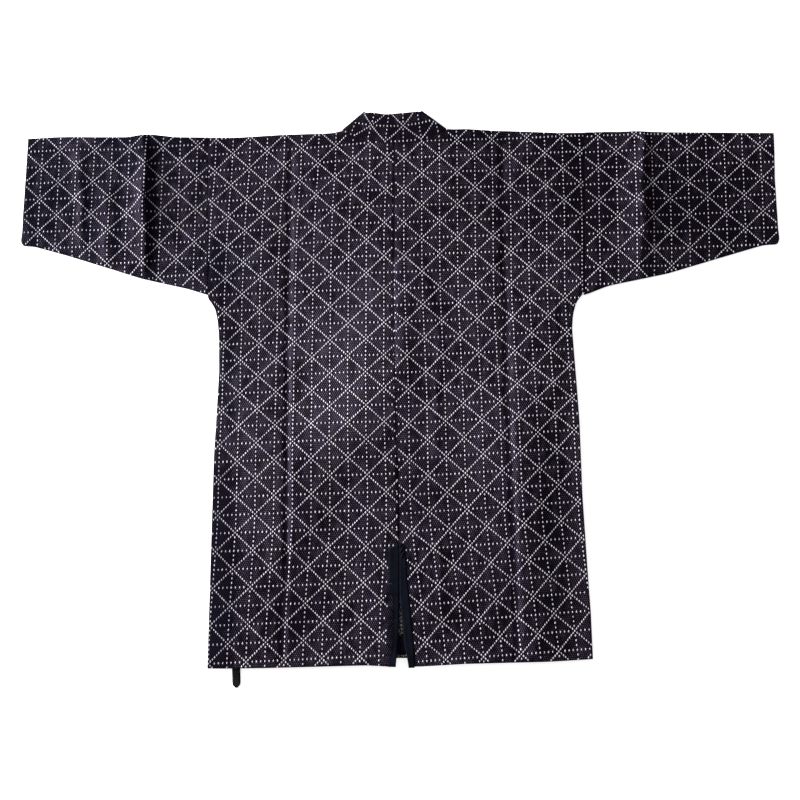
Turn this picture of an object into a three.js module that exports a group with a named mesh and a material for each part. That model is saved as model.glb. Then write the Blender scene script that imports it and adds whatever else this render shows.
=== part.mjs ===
import * as THREE from 'three';

// Kendo jacket laid face down on a flat surface, seen from its back. Millimetres, +Z up.
// Every size is drafted with x = 0 near the centre back, y = 0 at the hem and y growing
// towards the collar. The finished group is then moved onto the middle of its own outline.
// The two fronts lie lowest, the left one outermost, and the back panels lie on top of them.

// Driving sizes
const CLOTH = 1.8;              // single heavy woven layer
const BAND = 3.6;               // collar band, the same cloth doubled
const TAPE = 0.9;               // cotton tape
const SEAM = 0.3;               // space left between pieces that are sewn together
const BACK_LENGTH = 803;        // hem to collar seam at the centre back
const SHOULDER = 818;           // hem to the fold over the shoulders
const COLLAR_WIDTH = 45;
const FRONT_SHORTER = 12;       // the front hem lies this much above the back hem
const BINDING_WIDTH = 12;
const SLIT_TOP = 166;           // height of the slit in the centre back
const FACING_LOW = 5.5;         // tape inside the front hem, from its lower edge
const FACING_HIGH = 32.5;       // to its upper edge
const TIE_WIDTH = 12;
const TIE_THICK = 1.5;
const CUFF_LEFT = -590;
const CUFF_RIGHT = 589;
const OVERLAP_TOP = 600;        // where each front overlap panel starts
const COLLAR_END = 230;         // where the band stops, down each front edge

// Grid sizes
const PANEL_COLUMNS = 10;
const ROW_STEP = 30;
const SLEEVE_SECTIONS = 11;
const SLEEVE_STEPS = 8;
const OVERLAP_COLUMNS = 5;
const BAND_COLUMNS = 3;
const FOLD_ANGLES = [-Math.PI / 4, 0, Math.PI / 4];
const FOLD_ROLL = 2.6;          // how far a folded single layer reaches past its last flat row
const BAND_ROLL = 4.4;          // the same for the folded collar band

// Pile of layers: cells of the height map, and how far and how softly a layer bridges a step
const CELL = 4;
const MAP_HALF_X = 640;
const MAP_LOW_Y = -80;
const MAP_HIGH_Y = 900;
const PANEL_REACH = 42;
const PANEL_SOFT = 16;
const TIE_REACH = 14;
const TIE_SOFT = 6;

// Side seam below the armhole, and the armhole seam above it
const SIDE_LEFT = [
  { y: 0, x: -280 }, { y: 313, x: -280 }, { y: 440, x: -276.5 }, { y: 498, x: -278.5 },
  { y: 520, x: -281 }, { y: 538, x: -285 }, { y: 549, x: -291 }, { y: 555, x: -297 }, { y: 818, x: -305 },
];
const SIDE_RIGHT = [
  { y: 0, x: 279 }, { y: 66, x: 278 }, { y: 135, x: 274.5 }, { y: 240, x: 270.5 }, { y: 349, x: 269.5 },
  { y: 424, x: 266.5 }, { y: 498, x: 263 }, { y: 520, x: 265 }, { y: 538, x: 270 }, { y: 549, x: 277 },
  { y: 555, x: 284 }, { y: 818, x: 292 },
];
const ARMPIT = 555;

// Centre back: one seam, then the two edges of the slit, left and right
const CENTRE = [
  { y: 0, left: -9.2, right: 14.2 }, { y: 34, left: -8.6, right: 6.2 }, { y: 92, left: -7.2, right: 0.6 },
  { y: 166, left: -5.0, right: -1.2 }, { y: 176, left: -4.3, right: -3.9 }, { y: 313, left: -6.2, right: -5.8 },
  { y: 546, left: -8.2, right: -7.8 }, { y: 803, left: -10.2, right: -9.8 },
];

// Back neckline from the centre to the point of each shoulder
const NECK_LEFT = [
  { x: -10.2, y: 803 }, { x: -34, y: 804.5 }, { x: -58, y: 809.5 }, { x: -78, y: 814.5 }, { x: -92.3, y: 818.4 },
];
const NECK_RIGHT = [
  { x: -9.8, y: 803 }, { x: 16, y: 804 }, { x: 40, y: 808.5 }, { x: 60, y: 815.5 }, { x: 75.5, y: 821.4 },
];

// Outline of the shoulder fold and of the sleeves' fold, cuff to cuff
const TOP = [
  { x: -590, y: 811 }, { x: -546, y: 814 }, { x: -432, y: 814 }, { x: -396, y: 818 }, { x: -356, y: 814 },
  { x: -260, y: 813 }, { x: -184, y: 818 }, { x: -92, y: 821 }, { x: 76, y: 824 }, { x: 101, y: 826 },
  { x: 177, y: 824 }, { x: 254, y: 821 }, { x: 330, y: 823 }, { x: 592, y: 821 },
];

// Underarm seam of each sleeve, cuff to armhole
const UNDERARM_LEFT = [
  { x: -590, y: 634 }, { x: -573, y: 634 }, { x: -516, y: 618 }, { x: -440, y: 594 }, { x: -403, y: 582 },
  { x: -328, y: 565 }, { x: -297, y: 555 },
];
const UNDERARM_RIGHT = [
  { x: 284, y: 555 }, { x: 321, y: 570 }, { x: 415, y: 590 }, { x: 490, y: 613 }, { x: 566, y: 636 },
  { x: 590, y: 637 },
];

// Back hem
const HEM = [
  { x: -285, y: -5 }, { x: -200, y: -4 }, { x: -47, y: 0 }, { x: -12, y: -2 }, { x: 23, y: -2 }, { x: 93, y: 2 },
  { x: 214, y: 5 }, { x: 285, y: 9 },
];

// Collar seam down each front: from the neck point, past the overlap's top, to the band's end and the hem
const FRONT_EDGE_LEFT = [
  { y: 0, x: 128 }, { y: 230, x: 125 }, { y: 600, x: -6 }, { y: 818.4, x: -92.3 },
];
const FRONT_EDGE_RIGHT = [
  { y: 0, x: -140 }, { y: 230, x: -137 }, { y: 600, x: -8 }, { y: 821.4, x: 75.5 },
];
const CENTRE_FRONT_LEFT = -6;
const CENTRE_FRONT_RIGHT = -8;

// Collar across the back neck: the seam edge and the free edge of the band at each station.
// The first and last rows are the slanted folds where the band turns to the front.
const COLLAR_BACK = [
  { seamX: -90, seamY: 822.8, freeX: -57.5, freeY: 853 },
  { seamX: -78, seamY: 814.9, freeX: -49, freeY: 854.5 },
  { seamX: -58, seamY: 809.9, freeX: -38, freeY: 853.5 },
  { seamX: -34, seamY: 804.9, freeX: -24, freeY: 852 },
  { seamX: -10, seamY: 803.4, freeX: -8, freeY: 852 },
  { seamX: 16, seamY: 804.4, freeX: 8, freeY: 853.5 },
  { seamX: 40, seamY: 808.9, freeX: 20, freeY: 855 },
  { seamX: 60, seamY: 815.9, freeX: 27, freeY: 856 },
  { seamX: 72.5, seamY: 823.5, freeX: 31, freeY: 853.5 },
];

// Creases of the top layer. A positive rise is a ridge and a negative one a trough.
const CREASES = [
  { x1: -401, y1: 830, x2: -401, y2: 690, rise: 6.0, spread: 15 },
  { x1: -401, y1: 690, x2: -393, y2: 590, rise: 5.0, spread: 16 },
  { x1: 381, y1: 835, x2: 377, y2: 700, rise: 5.5, spread: 16 },
  { x1: 377, y1: 700, x2: 372, y2: 592, rise: 4.0, spread: 18 },
  { x1: -513, y1: 790, x2: -504, y2: 640, rise: 1.8, spread: 18 },
  { x1: -465, y1: 705, x2: -459, y2: 610, rise: 1.6, spread: 16 },
  { x1: -178, y1: 700, x2: -172, y2: 390, rise: -1.7, spread: 15 },
  { x1: -172, y1: 390, x2: -174, y2: 10, rise: -1.8, spread: 15 },
  { x1: -160, y1: 480, x2: -164, y2: 10, rise: 1.4, spread: 18 },
  { x1: 158, y1: 810, x2: 159, y2: 440, rise: -1.5, spread: 15 },
  { x1: 159, y1: 440, x2: 164, y2: 20, rise: -1.8, spread: 15 },
  { x1: 180, y1: 470, x2: 188, y2: 40, rise: 1.6, spread: 18 },
  { x1: -274, y1: 362, x2: -173, y2: 392, rise: 1.6, spread: 20 },
  { x1: 167, y1: 408, x2: 262, y2: 423, rise: 1.6, spread: 20 },
  { x1: -90, y1: 520, x2: -80, y2: 360, rise: 1.4, spread: 55 },
  { x1: 56, y1: 456, x2: 58, y2: 74, rise: 1.0, spread: 24 },
];
const LOFT = 2.0;               // how far the top layer stands off what it lies on
const LOFT_FADE = 34;           // distance from a sewn edge over which that dies away
const SLIT_LIFT = 1.0;          // more of it beside the slit, where the bindings wrap under

// Ties: the line each one lies along
const TIES = [
  { name: 'tie_inner_left', inside: true, line: [[-266, 268], [-250, 190], [-241, 70], [-237.5, -32]] },
  { name: 'tie_inner_right', inside: true, line: [[-140, 296], [-176, 262], [-196, 170], [-202, 60]] },
  { name: 'tie_outer_left', inside: false, line: [[134, 300], [172, 262], [206, 180], [214, 60]] },
  { name: 'tie_outer_right', inside: false, line: [[258, 372], [224, 392], [196, 450], [182, 600]] },
];

// Materials
const indigo = new THREE.MeshStandardMaterial({ color: 0x2c2732, roughness: 0.92, metalness: 0 });
const navy = new THREE.MeshStandardMaterial({ color: 0x16171f, roughness: 0.85, metalness: 0 });

const clamp01 = (value) => Math.min(1, Math.max(0, value));
const mix = (a, b, t) => a + (b - a) * t;
const smooth = (t) => clamp01(t) ** 2 * (3 - 2 * clamp01(t));

// Straight-line look-up of one named column of a table by another
function lookup(table, from, to, at) {
  let k = 1;
  while (k < table.length - 1 && table[k][from] < at) k += 1;
  const a = table[k - 1];
  const b = table[k];
  const t = clamp01((at - a[from]) / (b[from] - a[from]));
  return mix(a[to], b[to], t);
}

const topOutline = (x) => lookup(TOP, 'x', 'y', x);
const foldLine = (x) => topOutline(x) - FOLD_ROLL;
const hemLine = (x) => lookup(HEM, 'x', 'y', x);

// Height map of everything laid so far
class Pile {
  constructor() {
    this.nx = Math.ceil((2 * MAP_HALF_X) / CELL);
    this.ny = Math.ceil((MAP_HIGH_Y - MAP_LOW_Y) / CELL);
    this.top = new Float32Array(this.nx * this.ny);
  }

  cell(x, y) {
    const i = Math.round((x + MAP_HALF_X) / CELL);
    const j = Math.round((y - MAP_LOW_Y) / CELL);
    return j * this.nx + i;
  }

  // Raises the map to the upper side of a laid grid of points
  add(grid) {
    for (let r = 1; r < grid.length; r += 1) {
      for (let c = 1; c < grid[r].length; c += 1) {
        this.addPatch(grid[r - 1][c - 1], grid[r - 1][c], grid[r][c - 1], grid[r][c]);
      }
    }
  }

  addPatch(a, b, c, d) {
    const steps = Math.ceil(Math.max(a.distanceTo(d), b.distanceTo(c)) / (CELL * 0.6));
    for (let i = 0; i <= steps; i += 1) {
      for (let j = 0; j <= steps; j += 1) {
        const low = new THREE.Vector3().lerpVectors(a, b, i / steps);
        const high = new THREE.Vector3().lerpVectors(c, d, i / steps);
        const p = low.lerp(high, j / steps);
        const at = this.cell(p.x, p.y);
        this.top[at] = Math.max(this.top[at], p.z);
      }
    }
  }

  // Height at which the next layer comes to rest: the highest thing within reach, softened
  rest(reach, soft) {
    const wide = Math.ceil((reach + soft) / CELL);
    const blur = Math.round(soft / CELL);
    const highest = (values) => Math.max(...values);
    const mean = (values) => values.reduce((sum, v) => sum + v, 0) / values.length;
    let map = this.filter(this.top, wide, 1, highest);
    map = this.filter(map, wide, this.nx, highest);
    map = this.filter(map, blur, 1, mean);
    map = this.filter(map, blur, this.nx, mean);
    return (x, y) => {
      const height = map[this.cell(x, y)];
      return height + SEAM * clamp01(height);
    };
  }

  filter(map, radius, stride, reduce) {
    const out = new Float32Array(map.length);
    const length = stride === 1 ? this.nx : this.ny;
    for (let at = 0; at < map.length; at += 1) {
      const place = stride === 1 ? at % this.nx : Math.floor(at / this.nx);
      const low = Math.max(-place, -radius);
      const high = Math.min(length - 1 - place, radius);
      const values = [];
      for (let k = low; k <= high; k += 1) values.push(map[at + k * stride]);
      out[at] = reduce(values);
    }
    return out;
  }
}

// Soft ridges and troughs of the top layer at a point, dying away near a sewn edge
function loft(x, y, edgeDistance) {
  let height = LOFT;
  for (const crease of CREASES) {
    const along = new THREE.Vector2(crease.x2 - crease.x1, crease.y2 - crease.y1);
    const length = along.length();
    along.divideScalar(length);
    const from = new THREE.Vector2(x - crease.x1, y - crease.y1);
    const place = from.dot(along);
    const across = from.cross(along);
    const past = Math.max(0, -place, place - length);
    height += crease.rise * Math.exp(-((across / crease.spread) ** 2) - (past / (2 * crease.spread)) ** 2);
  }
  return Math.max(0, height) * smooth(edgeDistance / LOFT_FADE);
}

const outerPoints = (grid) => grid.map((row) => row.map((point) => point.outer));
const innerPoints = (grid) => grid.map((row) => row.map((point) => point.inner));

// One point of a wall: face down the outer side is below, face up it is above
function faceDown(x, y, z, thick) {
  return { outer: new THREE.Vector3(x, y, z), inner: new THREE.Vector3(x, y, z + thick) };
}

function faceUp(x, y, z, thick) {
  return { outer: new THREE.Vector3(x, y, z + thick), inner: new THREE.Vector3(x, y, z) };
}

// The rolled point between a face-down point and the face-up point folded over it
function rolled(low, high, dirX, dirY, roll, thick, angle) {
  const roll2 = roll - thick;
  const turn = (a, b, reach) => new THREE.Vector3(
    (a.x + b.x) / 2 + dirX * reach * Math.cos(angle),
    (a.y + b.y) / 2 + dirY * reach * Math.cos(angle),
    (a.z + b.z) / 2 + ((b.z - a.z) / 2) * Math.sin(angle),
  );
  return { outer: turn(low.outer, high.outer, roll), inner: turn(low.inner, high.inner, roll2) };
}

// A closed wall from a grid of outer and inner points
function wall(name, grid, material) {
  const rows = grid.length;
  const columns = grid[0].length;
  const position = [];
  for (const side of ['outer', 'inner']) {
    for (const row of grid) {
      for (const point of row) position.push(point[side].x, point[side].y, point[side].z);
    }
  }
  const at = (r, c, side) => side * rows * columns + r * columns + c;
  const index = [];
  const quad = (a, b, c, d) => index.push(a, b, c, a, c, d);
  for (let r = 1; r < rows; r += 1) {
    for (let c = 1; c < columns; c += 1) {
      quad(at(r - 1, c - 1, 0), at(r - 1, c, 0), at(r, c, 0), at(r, c - 1, 0));
      quad(at(r - 1, c - 1, 1), at(r, c - 1, 1), at(r, c, 1), at(r - 1, c, 1));
    }
  }
  const last = columns - 1;
  for (let r = 1; r < rows; r += 1) {
    quad(at(r - 1, 0, 1), at(r - 1, 0, 0), at(r, 0, 0), at(r, 0, 1));
    quad(at(r - 1, last, 0), at(r - 1, last, 1), at(r, last, 1), at(r, last, 0));
  }
  for (let c = 1; c < columns; c += 1) {
    quad(at(0, c - 1, 1), at(0, c, 1), at(0, c, 0), at(0, c - 1, 0));
    quad(at(rows - 1, c - 1, 0), at(rows - 1, c, 0), at(rows - 1, c, 1), at(rows - 1, c - 1, 1));
  }
  const geometry = new THREE.BufferGeometry();
  geometry.setAttribute('position', new THREE.Float32BufferAttribute(position, 3));
  geometry.setIndex(index);
  if (signedVolume(geometry) < 0) {
    for (let k = 0; k < index.length; k += 3) [index[k], index[k + 1]] = [index[k + 1], index[k]];
    geometry.setIndex(index);
  }
  geometry.computeVertexNormals();
  const mesh = new THREE.Mesh(geometry, material.clone());
  mesh.name = name;
  return mesh;
}

function signedVolume(geometry) {
  const p = geometry.getAttribute('position');
  const index = geometry.getIndex();
  const corner = [new THREE.Vector3(), new THREE.Vector3(), new THREE.Vector3()];
  let sum = 0;
  for (let k = 0; k < index.count; k += 3) {
    corner.forEach((v, n) => v.fromBufferAttribute(p, index.getX(k + n)));
    sum += corner[0].dot(corner[1].cross(corner[2]));
  }
  return sum;
}

// Body panels: front and back in one piece, folded over the shoulder
const BODY_LEFT = {
  sign: -1, side: SIDE_LEFT, neck: NECK_LEFT, frontEdge: FRONT_EDGE_LEFT, centreFront: CENTRE_FRONT_LEFT,
};
const BODY_RIGHT = {
  sign: 1, side: SIDE_RIGHT, neck: NECK_RIGHT, frontEdge: FRONT_EDGE_RIGHT, centreFront: CENTRE_FRONT_RIGHT,
};

// Heights of the front rows, hem to shoulder, with rows of their own for the facing and the armpit
const FRONT_HEIGHTS = [
  0, FACING_LOW, FACING_HIGH, ...steps(60, 480, ROW_STEP), 506, 525, 540, 549, ARMPIT,
  ...steps(OVERLAP_TOP - 22, OVERLAP_TOP, 11), ...steps(OVERLAP_TOP + 28, SHOULDER - 10, ROW_STEP), SHOULDER,
];
// Heights of the back rows below the neckline, with rows of their own for the slit and the armpit
const BACK_HEIGHTS = [
  ...steps(0, 150, ROW_STEP), SLIT_TOP, 176, ...steps(205, 480, ROW_STEP), 506, 525, 540, 549, ARMPIT,
  ...steps(ARMPIT + 27, 780, ROW_STEP),
];

function steps(from, to, step) {
  const list = [];
  for (let value = from; value <= to; value += step) list.push(value);
  return list;
}

// Height above the hem of a row that follows the hem at the bottom and the shoulder at the top
function rowY(height, x, raised) {
  const low = hemLine(x) + raised;
  return mix(low, foldLine(x), height / SHOULDER);
}

// Places of the columns from the side seam to the inner edge, the last strip one binding wide
function columnsBetween(sideX, innerX, sign) {
  const strip = innerX + sign * BINDING_WIDTH;
  const list = [];
  for (let c = 0; c < PANEL_COLUMNS; c += 1) list.push(mix(sideX, strip, c / (PANEL_COLUMNS - 1)));
  list.push(innerX);
  return list;
}

function sideX(body, height) {
  return lookup(body.side, 'y', 'x', height) - body.sign * (SEAM / 2);
}

function frontGrid(body, restHeight) {
  return FRONT_HEIGHTS.map((height) => {
    const edge = height > OVERLAP_TOP ? lookup(body.frontEdge, 'y', 'x', height) : body.centreFront;
    const columns = columnsBetween(sideX(body, height), edge + body.sign * (SEAM / 2), body.sign);
    return columns.map((x) => {
      const y = rowY(height, x, FRONT_SHORTER);
      return faceDown(x, y, restHeight(x, y), CLOTH);
    });
  });
}

function backPoint(body, x, y, side, restHeight) {
  const inSlit = smooth((SLIT_TOP + 30 - y) / 40) * smooth(1 - Math.abs(x) / 70);
  const lift = loft(x, y, Math.abs(x - side)) + SLIT_LIFT * inSlit;
  return faceUp(x, y, restHeight(x, y) + lift, CLOTH);
}

function backGrid(body, restHeight) {
  const edgeName = body.sign < 0 ? 'left' : 'right';
  const grid = BACK_HEIGHTS.map((height) => {
    const side = sideX(body, height);
    const columns = columnsBetween(side, lookup(CENTRE, 'y', edgeName, height), body.sign);
    return columns.map((x) => backPoint(body, x, rowY(height, x, 0), side, restHeight));
  });
  body.neck.forEach((point, k) => {
    const height = mix(BACK_LENGTH - 8, SHOULDER, (k + 1) / body.neck.length);
    const side = sideX(body, height);
    const columns = columnsBetween(side, point.x, body.sign);
    grid.push(columns.map((x) => {
      const share = clamp01((x - side) / (point.x - side));
      const inner = rowY(height, point.x, 0);
      const y = rowY(height, x, 0) + (point.y - inner) * share ** 2;
      return backPoint(body, x, y, side, restHeight);
    }));
  });
  return grid;
}

function joinOverFold(front, back) {
  const low = front[front.length - 1];
  const high = back[back.length - 1];
  const fold = FOLD_ANGLES.map((angle) => low.map((point, c) => (
    rolled(point, high[c], 0, 1, FOLD_ROLL, CLOTH, angle))));
  return [...front, ...fold, ...back.slice().reverse()];
}

// Sleeves: one piece each, folded along the top, sewn along the underarm
const SLEEVE_LEFT = { sign: -1, cuff: CUFF_LEFT, side: SIDE_LEFT, underarm: UNDERARM_LEFT };
const SLEEVE_RIGHT = { sign: 1, cuff: CUFF_RIGHT, side: SIDE_RIGHT, underarm: UNDERARM_RIGHT };

// A flat layer of the sleeve: rows from the armhole to the cuff, columns from the underarm to the fold
function sleeveLayer(sleeve, place) {
  const grid = [];
  for (let r = 0; r <= SLEEVE_SECTIONS; r += 1) {
    const row = [];
    for (let c = 0; c <= SLEEVE_STEPS; c += 1) {
      const up = c / SLEEVE_STEPS;
      const seamX = lookup(sleeve.side, 'y', 'x', mix(ARMPIT, SHOULDER, up)) + sleeve.sign * (SEAM / 2);
      const x = mix(seamX, sleeve.cuff, r / SLEEVE_SECTIONS);
      const low = lookup(sleeve.underarm, 'x', 'y', x);
      const y = mix(low, foldLine(x), up);
      row.push(place(x, y, y - low));
    }
    grid.push(row);
  }
  return grid;
}

function joinSleeve(lower, upper) {
  return lower.map((row, r) => {
    const high = upper[r];
    const top = row.length - 1;
    const fold = FOLD_ANGLES.map((angle) => (
      rolled(row[top], high[top], 0, 1, FOLD_ROLL, CLOTH, angle)));
    return [...row, ...fold, ...high.slice().reverse()];
  });
}

// Front overlap panels, from the centre front seam to the collar seam
function overlapGrid(body, restHeight) {
  const heights = FRONT_HEIGHTS.filter((height) => height < OVERLAP_TOP - 5);
  return heights.map((height) => {
    const seam = body.centreFront - body.sign * (SEAM / 2);
    const edge = lookup(body.frontEdge, 'y', 'x', height);
    const row = [];
    for (let c = 0; c <= OVERLAP_COLUMNS; c += 1) {
      const x = mix(seam, edge, c / OVERLAP_COLUMNS);
      const y = rowY(height, x, FRONT_SHORTER);
      row.push(faceDown(x, y, restHeight(x, y), CLOTH));
    }
    return row;
  });
}

// Collar band down one front, from its end to the slanted fold at the neck
function collarFront(body, foldStation, restHeight) {
  const stations = [...steps(COLLAR_END, 760, 28), 776, 790, 803];
  const grid = stations.map((height) => {
    const here = frontSeam(body, height);
    const ahead = frontSeam(body, height + 1);
    const run = ahead.clone().sub(here).normalize();
    const out = new THREE.Vector2(run.y, -run.x).multiplyScalar(-body.sign);
    const fold = new THREE.Vector2(
      foldStation.freeX - foldStation.seamX,
      foldStation.freeY - foldStation.seamY,
    );
    const turn = smooth((height - 720) / 95);
    const across = out.multiplyScalar(COLLAR_WIDTH).lerp(fold, turn);
    return bandRow(here, here.clone().add(across), restHeight, faceDown);
  });
  const seam = new THREE.Vector2(foldStation.seamX, foldStation.seamY);
  const free = new THREE.Vector2(foldStation.freeX, foldStation.freeY);
  grid.push(bandRow(seam, free, restHeight, faceDown));
  return grid;
}

function frontSeam(body, height) {
  const x = lookup(body.frontEdge, 'y', 'x', height);
  return new THREE.Vector2(x - body.sign * SEAM * 1.2, rowY(height, x, FRONT_SHORTER));
}

function bandRow(seam, free, restHeight, face) {
  const row = [];
  for (let c = 0; c <= BAND_COLUMNS; c += 1) {
    const p = seam.clone().lerp(free, c / BAND_COLUMNS);
    row.push(face(p.x, p.y, restHeight(p.x, p.y), BAND));
  }
  return row;
}

function collarBack(restHeight) {
  return COLLAR_BACK.map((station) => bandRow(
    new THREE.Vector2(station.seamX, station.seamY),
    new THREE.Vector2(station.freeX, station.freeY),
    (x, y) => restHeight(x, y) + SEAM,
    faceUp,
  ));
}

function collarFold(low, high, sign) {
  const line = high[BAND_COLUMNS].outer.clone().sub(high[0].outer);
  const out = new THREE.Vector2(line.y, -line.x).normalize().multiplyScalar(sign);
  return FOLD_ANGLES.map((angle) => low.map((point, c) => (
    rolled(point, high[c], out.x, out.y, BAND_ROLL, BAND, angle))));
}

// Binding folded round one edge of the slit, made from the panel's own points
function binding(name, back) {
  const low = BACK_HEIGHTS.indexOf(SLIT_TOP);
  const moved = (point, x, z) => new THREE.Vector3(point.x + x, point.y, point.z + z);
  const grid = back.slice(0, low + 1).map((row) => {
    const edge = row[PANEL_COLUMNS];
    const inset = row[PANEL_COLUMNS - 1];
    const away = Math.sign(edge.outer.x - inset.outer.x);
    const middle = edge.outer.clone().lerp(edge.inner, 0.5);
    const layer = (point, way) => ({
      outer: moved(point, 0, way * (SEAM + TAPE)),
      inner: moved(point, 0, way * SEAM),
    });
    return [
      layer(inset.outer, 1),
      layer(edge.outer, 1),
      { outer: moved(middle, away * (SEAM + TAPE), 0), inner: moved(middle, away * SEAM, 0) },
      layer(edge.inner, -1),
      layer(inset.inner, -1),
    ];
  });
  return wall(name, grid, navy);
}

// Tape on the inside of the right front's hem, made from the panels' own points
function hemFacing(front, overlap) {
  const rows = [FACING_LOW, FACING_HIGH].map((height) => FRONT_HEIGHTS.indexOf(height));
  const grid = rows.map((r) => {
    const across = [...front[r].slice(0, PANEL_COLUMNS), ...overlap[r].slice(1)];
    return across.map((point) => ({
      outer: point.inner.clone().setZ(point.inner.z + SEAM + TAPE),
      inner: point.inner.clone().setZ(point.inner.z + SEAM),
    }));
  });
  return grid;
}

// Flat tape laid along a line, with a rounded end
function tieGrid(tie, restHeight) {
  const line = new THREE.CatmullRomCurve3(tie.line.map(([x, y]) => new THREE.Vector3(x, y, 0)));
  const length = line.getLength();
  const count = Math.round(length / TIE_WIDTH);
  const grid = [];
  for (let k = 0; k <= count; k += 1) {
    const point = line.getPointAt(k / count);
    const run = line.getTangentAt(k / count);
    const half = (TIE_WIDTH / 2) * (k === count ? 0.55 : 1);
    grid.push([-1, 0, 1].map((side) => {
      const x = point.x - run.y * side * half;
      const y = point.y + run.x * side * half;
      return faceUp(x, y, restHeight(x, y), TIE_THICK);
    }));
  }
  return grid;
}

// Laying the pieces, lowest first
const onFloor = () => 0;
const pile = new Pile();
const group = new THREE.Group();

const leftFront = frontGrid(BODY_LEFT, onFloor);
const leftOverlap = overlapGrid(BODY_LEFT, onFloor);
const leftBand = collarFront(BODY_LEFT, COLLAR_BACK[0], onFloor);
const leftSleeveLow = sleeveLayer(SLEEVE_LEFT, (x, y) => faceDown(x, y, 0, CLOTH));
const rightSleeveLow = sleeveLayer(SLEEVE_RIGHT, (x, y) => faceDown(x, y, 0, CLOTH));
for (const grid of [leftFront, leftOverlap, leftBand, leftSleeveLow]) pile.add(innerPoints(grid));

function layTies(inside) {
  const restHeight = pile.rest(TIE_REACH, TIE_SOFT);
  for (const tie of TIES.filter((item) => item.inside === inside)) {
    const grid = tieGrid(tie, restHeight);
    pile.add(outerPoints(grid));
    group.add(wall(tie.name, grid, navy));
  }
}
layTies(false);

const onLeft = pile.rest(PANEL_REACH, PANEL_SOFT);
const rightFront = frontGrid(BODY_RIGHT, onLeft);
const rightOverlap = overlapGrid(BODY_RIGHT, onLeft);
const rightBand = collarFront(BODY_RIGHT, COLLAR_BACK[COLLAR_BACK.length - 1], onLeft);
const facing = hemFacing(rightFront, rightOverlap);
for (const grid of [rightFront, rightOverlap, rightBand, rightSleeveLow]) pile.add(innerPoints(grid));
pile.add(outerPoints(facing));
layTies(true);

const onFronts = pile.rest(PANEL_REACH, PANEL_SOFT);
const leftBack = backGrid(BODY_LEFT, onFronts);
const rightBack = backGrid(BODY_RIGHT, onFronts);
const band = collarBack(onFronts);
const sleeveTop = (x, y, fromSeam) => faceUp(x, y, onFronts(x, y) + loft(x, y, fromSeam), CLOTH);
const leftSleeveHigh = sleeveLayer(SLEEVE_LEFT, sleeveTop);
const rightSleeveHigh = sleeveLayer(SLEEVE_RIGHT, sleeveTop);

const lastOf = (list) => list[list.length - 1];
const collarGrid = [
  ...leftBand,
  ...collarFold(lastOf(leftBand), band[0], -1),
  ...band,
  ...collarFold(lastOf(rightBand), lastOf(band), 1),
  ...rightBand.slice().reverse(),
];

group.add(wall('body_left', joinOverFold(leftFront, leftBack), indigo));
group.add(wall('body_right', joinOverFold(rightFront, rightBack), indigo));
group.add(wall('sleeve_left', joinSleeve(leftSleeveLow, leftSleeveHigh), indigo));
group.add(wall('sleeve_right', joinSleeve(rightSleeveLow, rightSleeveHigh), indigo));
group.add(wall('overlap_left', leftOverlap, indigo));
group.add(wall('overlap_right', rightOverlap, indigo));
group.add(wall('collar', collarGrid, indigo));
group.add(binding('slit_binding_left', leftBack));
group.add(binding('slit_binding_right', rightBack));
group.add(wall('hem_facing', facing, navy));

// The origin goes to the middle of the outline, on the surface it lies on
const bounds = new THREE.Box3().setFromObject(group);
const middle = bounds.getCenter(new THREE.Vector3());
group.position.set(-middle.x, -middle.y, -bounds.min.z);

export default group;
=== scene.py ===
import math
import random

import bmesh
import bpy
from mathutils import Matrix, Vector
from mathutils.bvhtree import BVHTree


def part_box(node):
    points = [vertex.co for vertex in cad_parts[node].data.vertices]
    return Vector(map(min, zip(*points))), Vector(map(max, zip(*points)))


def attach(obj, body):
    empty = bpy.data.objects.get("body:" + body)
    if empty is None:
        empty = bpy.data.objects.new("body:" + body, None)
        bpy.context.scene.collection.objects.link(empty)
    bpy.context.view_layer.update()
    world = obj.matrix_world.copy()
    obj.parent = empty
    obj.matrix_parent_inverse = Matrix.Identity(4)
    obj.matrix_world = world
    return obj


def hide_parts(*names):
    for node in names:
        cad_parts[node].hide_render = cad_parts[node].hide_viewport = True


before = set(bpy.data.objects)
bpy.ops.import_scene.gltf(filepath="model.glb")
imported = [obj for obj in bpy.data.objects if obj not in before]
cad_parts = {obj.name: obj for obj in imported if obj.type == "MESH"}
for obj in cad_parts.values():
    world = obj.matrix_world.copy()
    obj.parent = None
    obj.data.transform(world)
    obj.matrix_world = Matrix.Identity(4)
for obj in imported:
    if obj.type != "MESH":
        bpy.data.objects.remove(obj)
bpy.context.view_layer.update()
scene = bpy.context.scene

# Camera
# The jacket was photographed lying flat, from above and a little from the hem's side,
# so that the hem looks slightly larger than the shoulders.
CAMERA_TILT = math.radians(10.0)
CAMERA_DISTANCE = 1.579
CAMERA_LENS = 46.9
CAMERA_AIM = Vector((-0.0003, -0.0220, 0.004))

camera_data = bpy.data.cameras.new("camera")
camera_data.lens = CAMERA_LENS
camera_data.sensor_width = 36.0
camera = bpy.data.objects.new("camera", camera_data)
scene.collection.objects.link(camera)
away = Vector((0.0, -math.sin(CAMERA_TILT), math.cos(CAMERA_TILT)))
camera.location = CAMERA_AIM + away * CAMERA_DISTANCE
camera.rotation_euler = (CAMERA_TILT, 0.0, 0.0)
scene.camera = camera
scene.view_settings.view_transform = "Standard"

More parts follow.
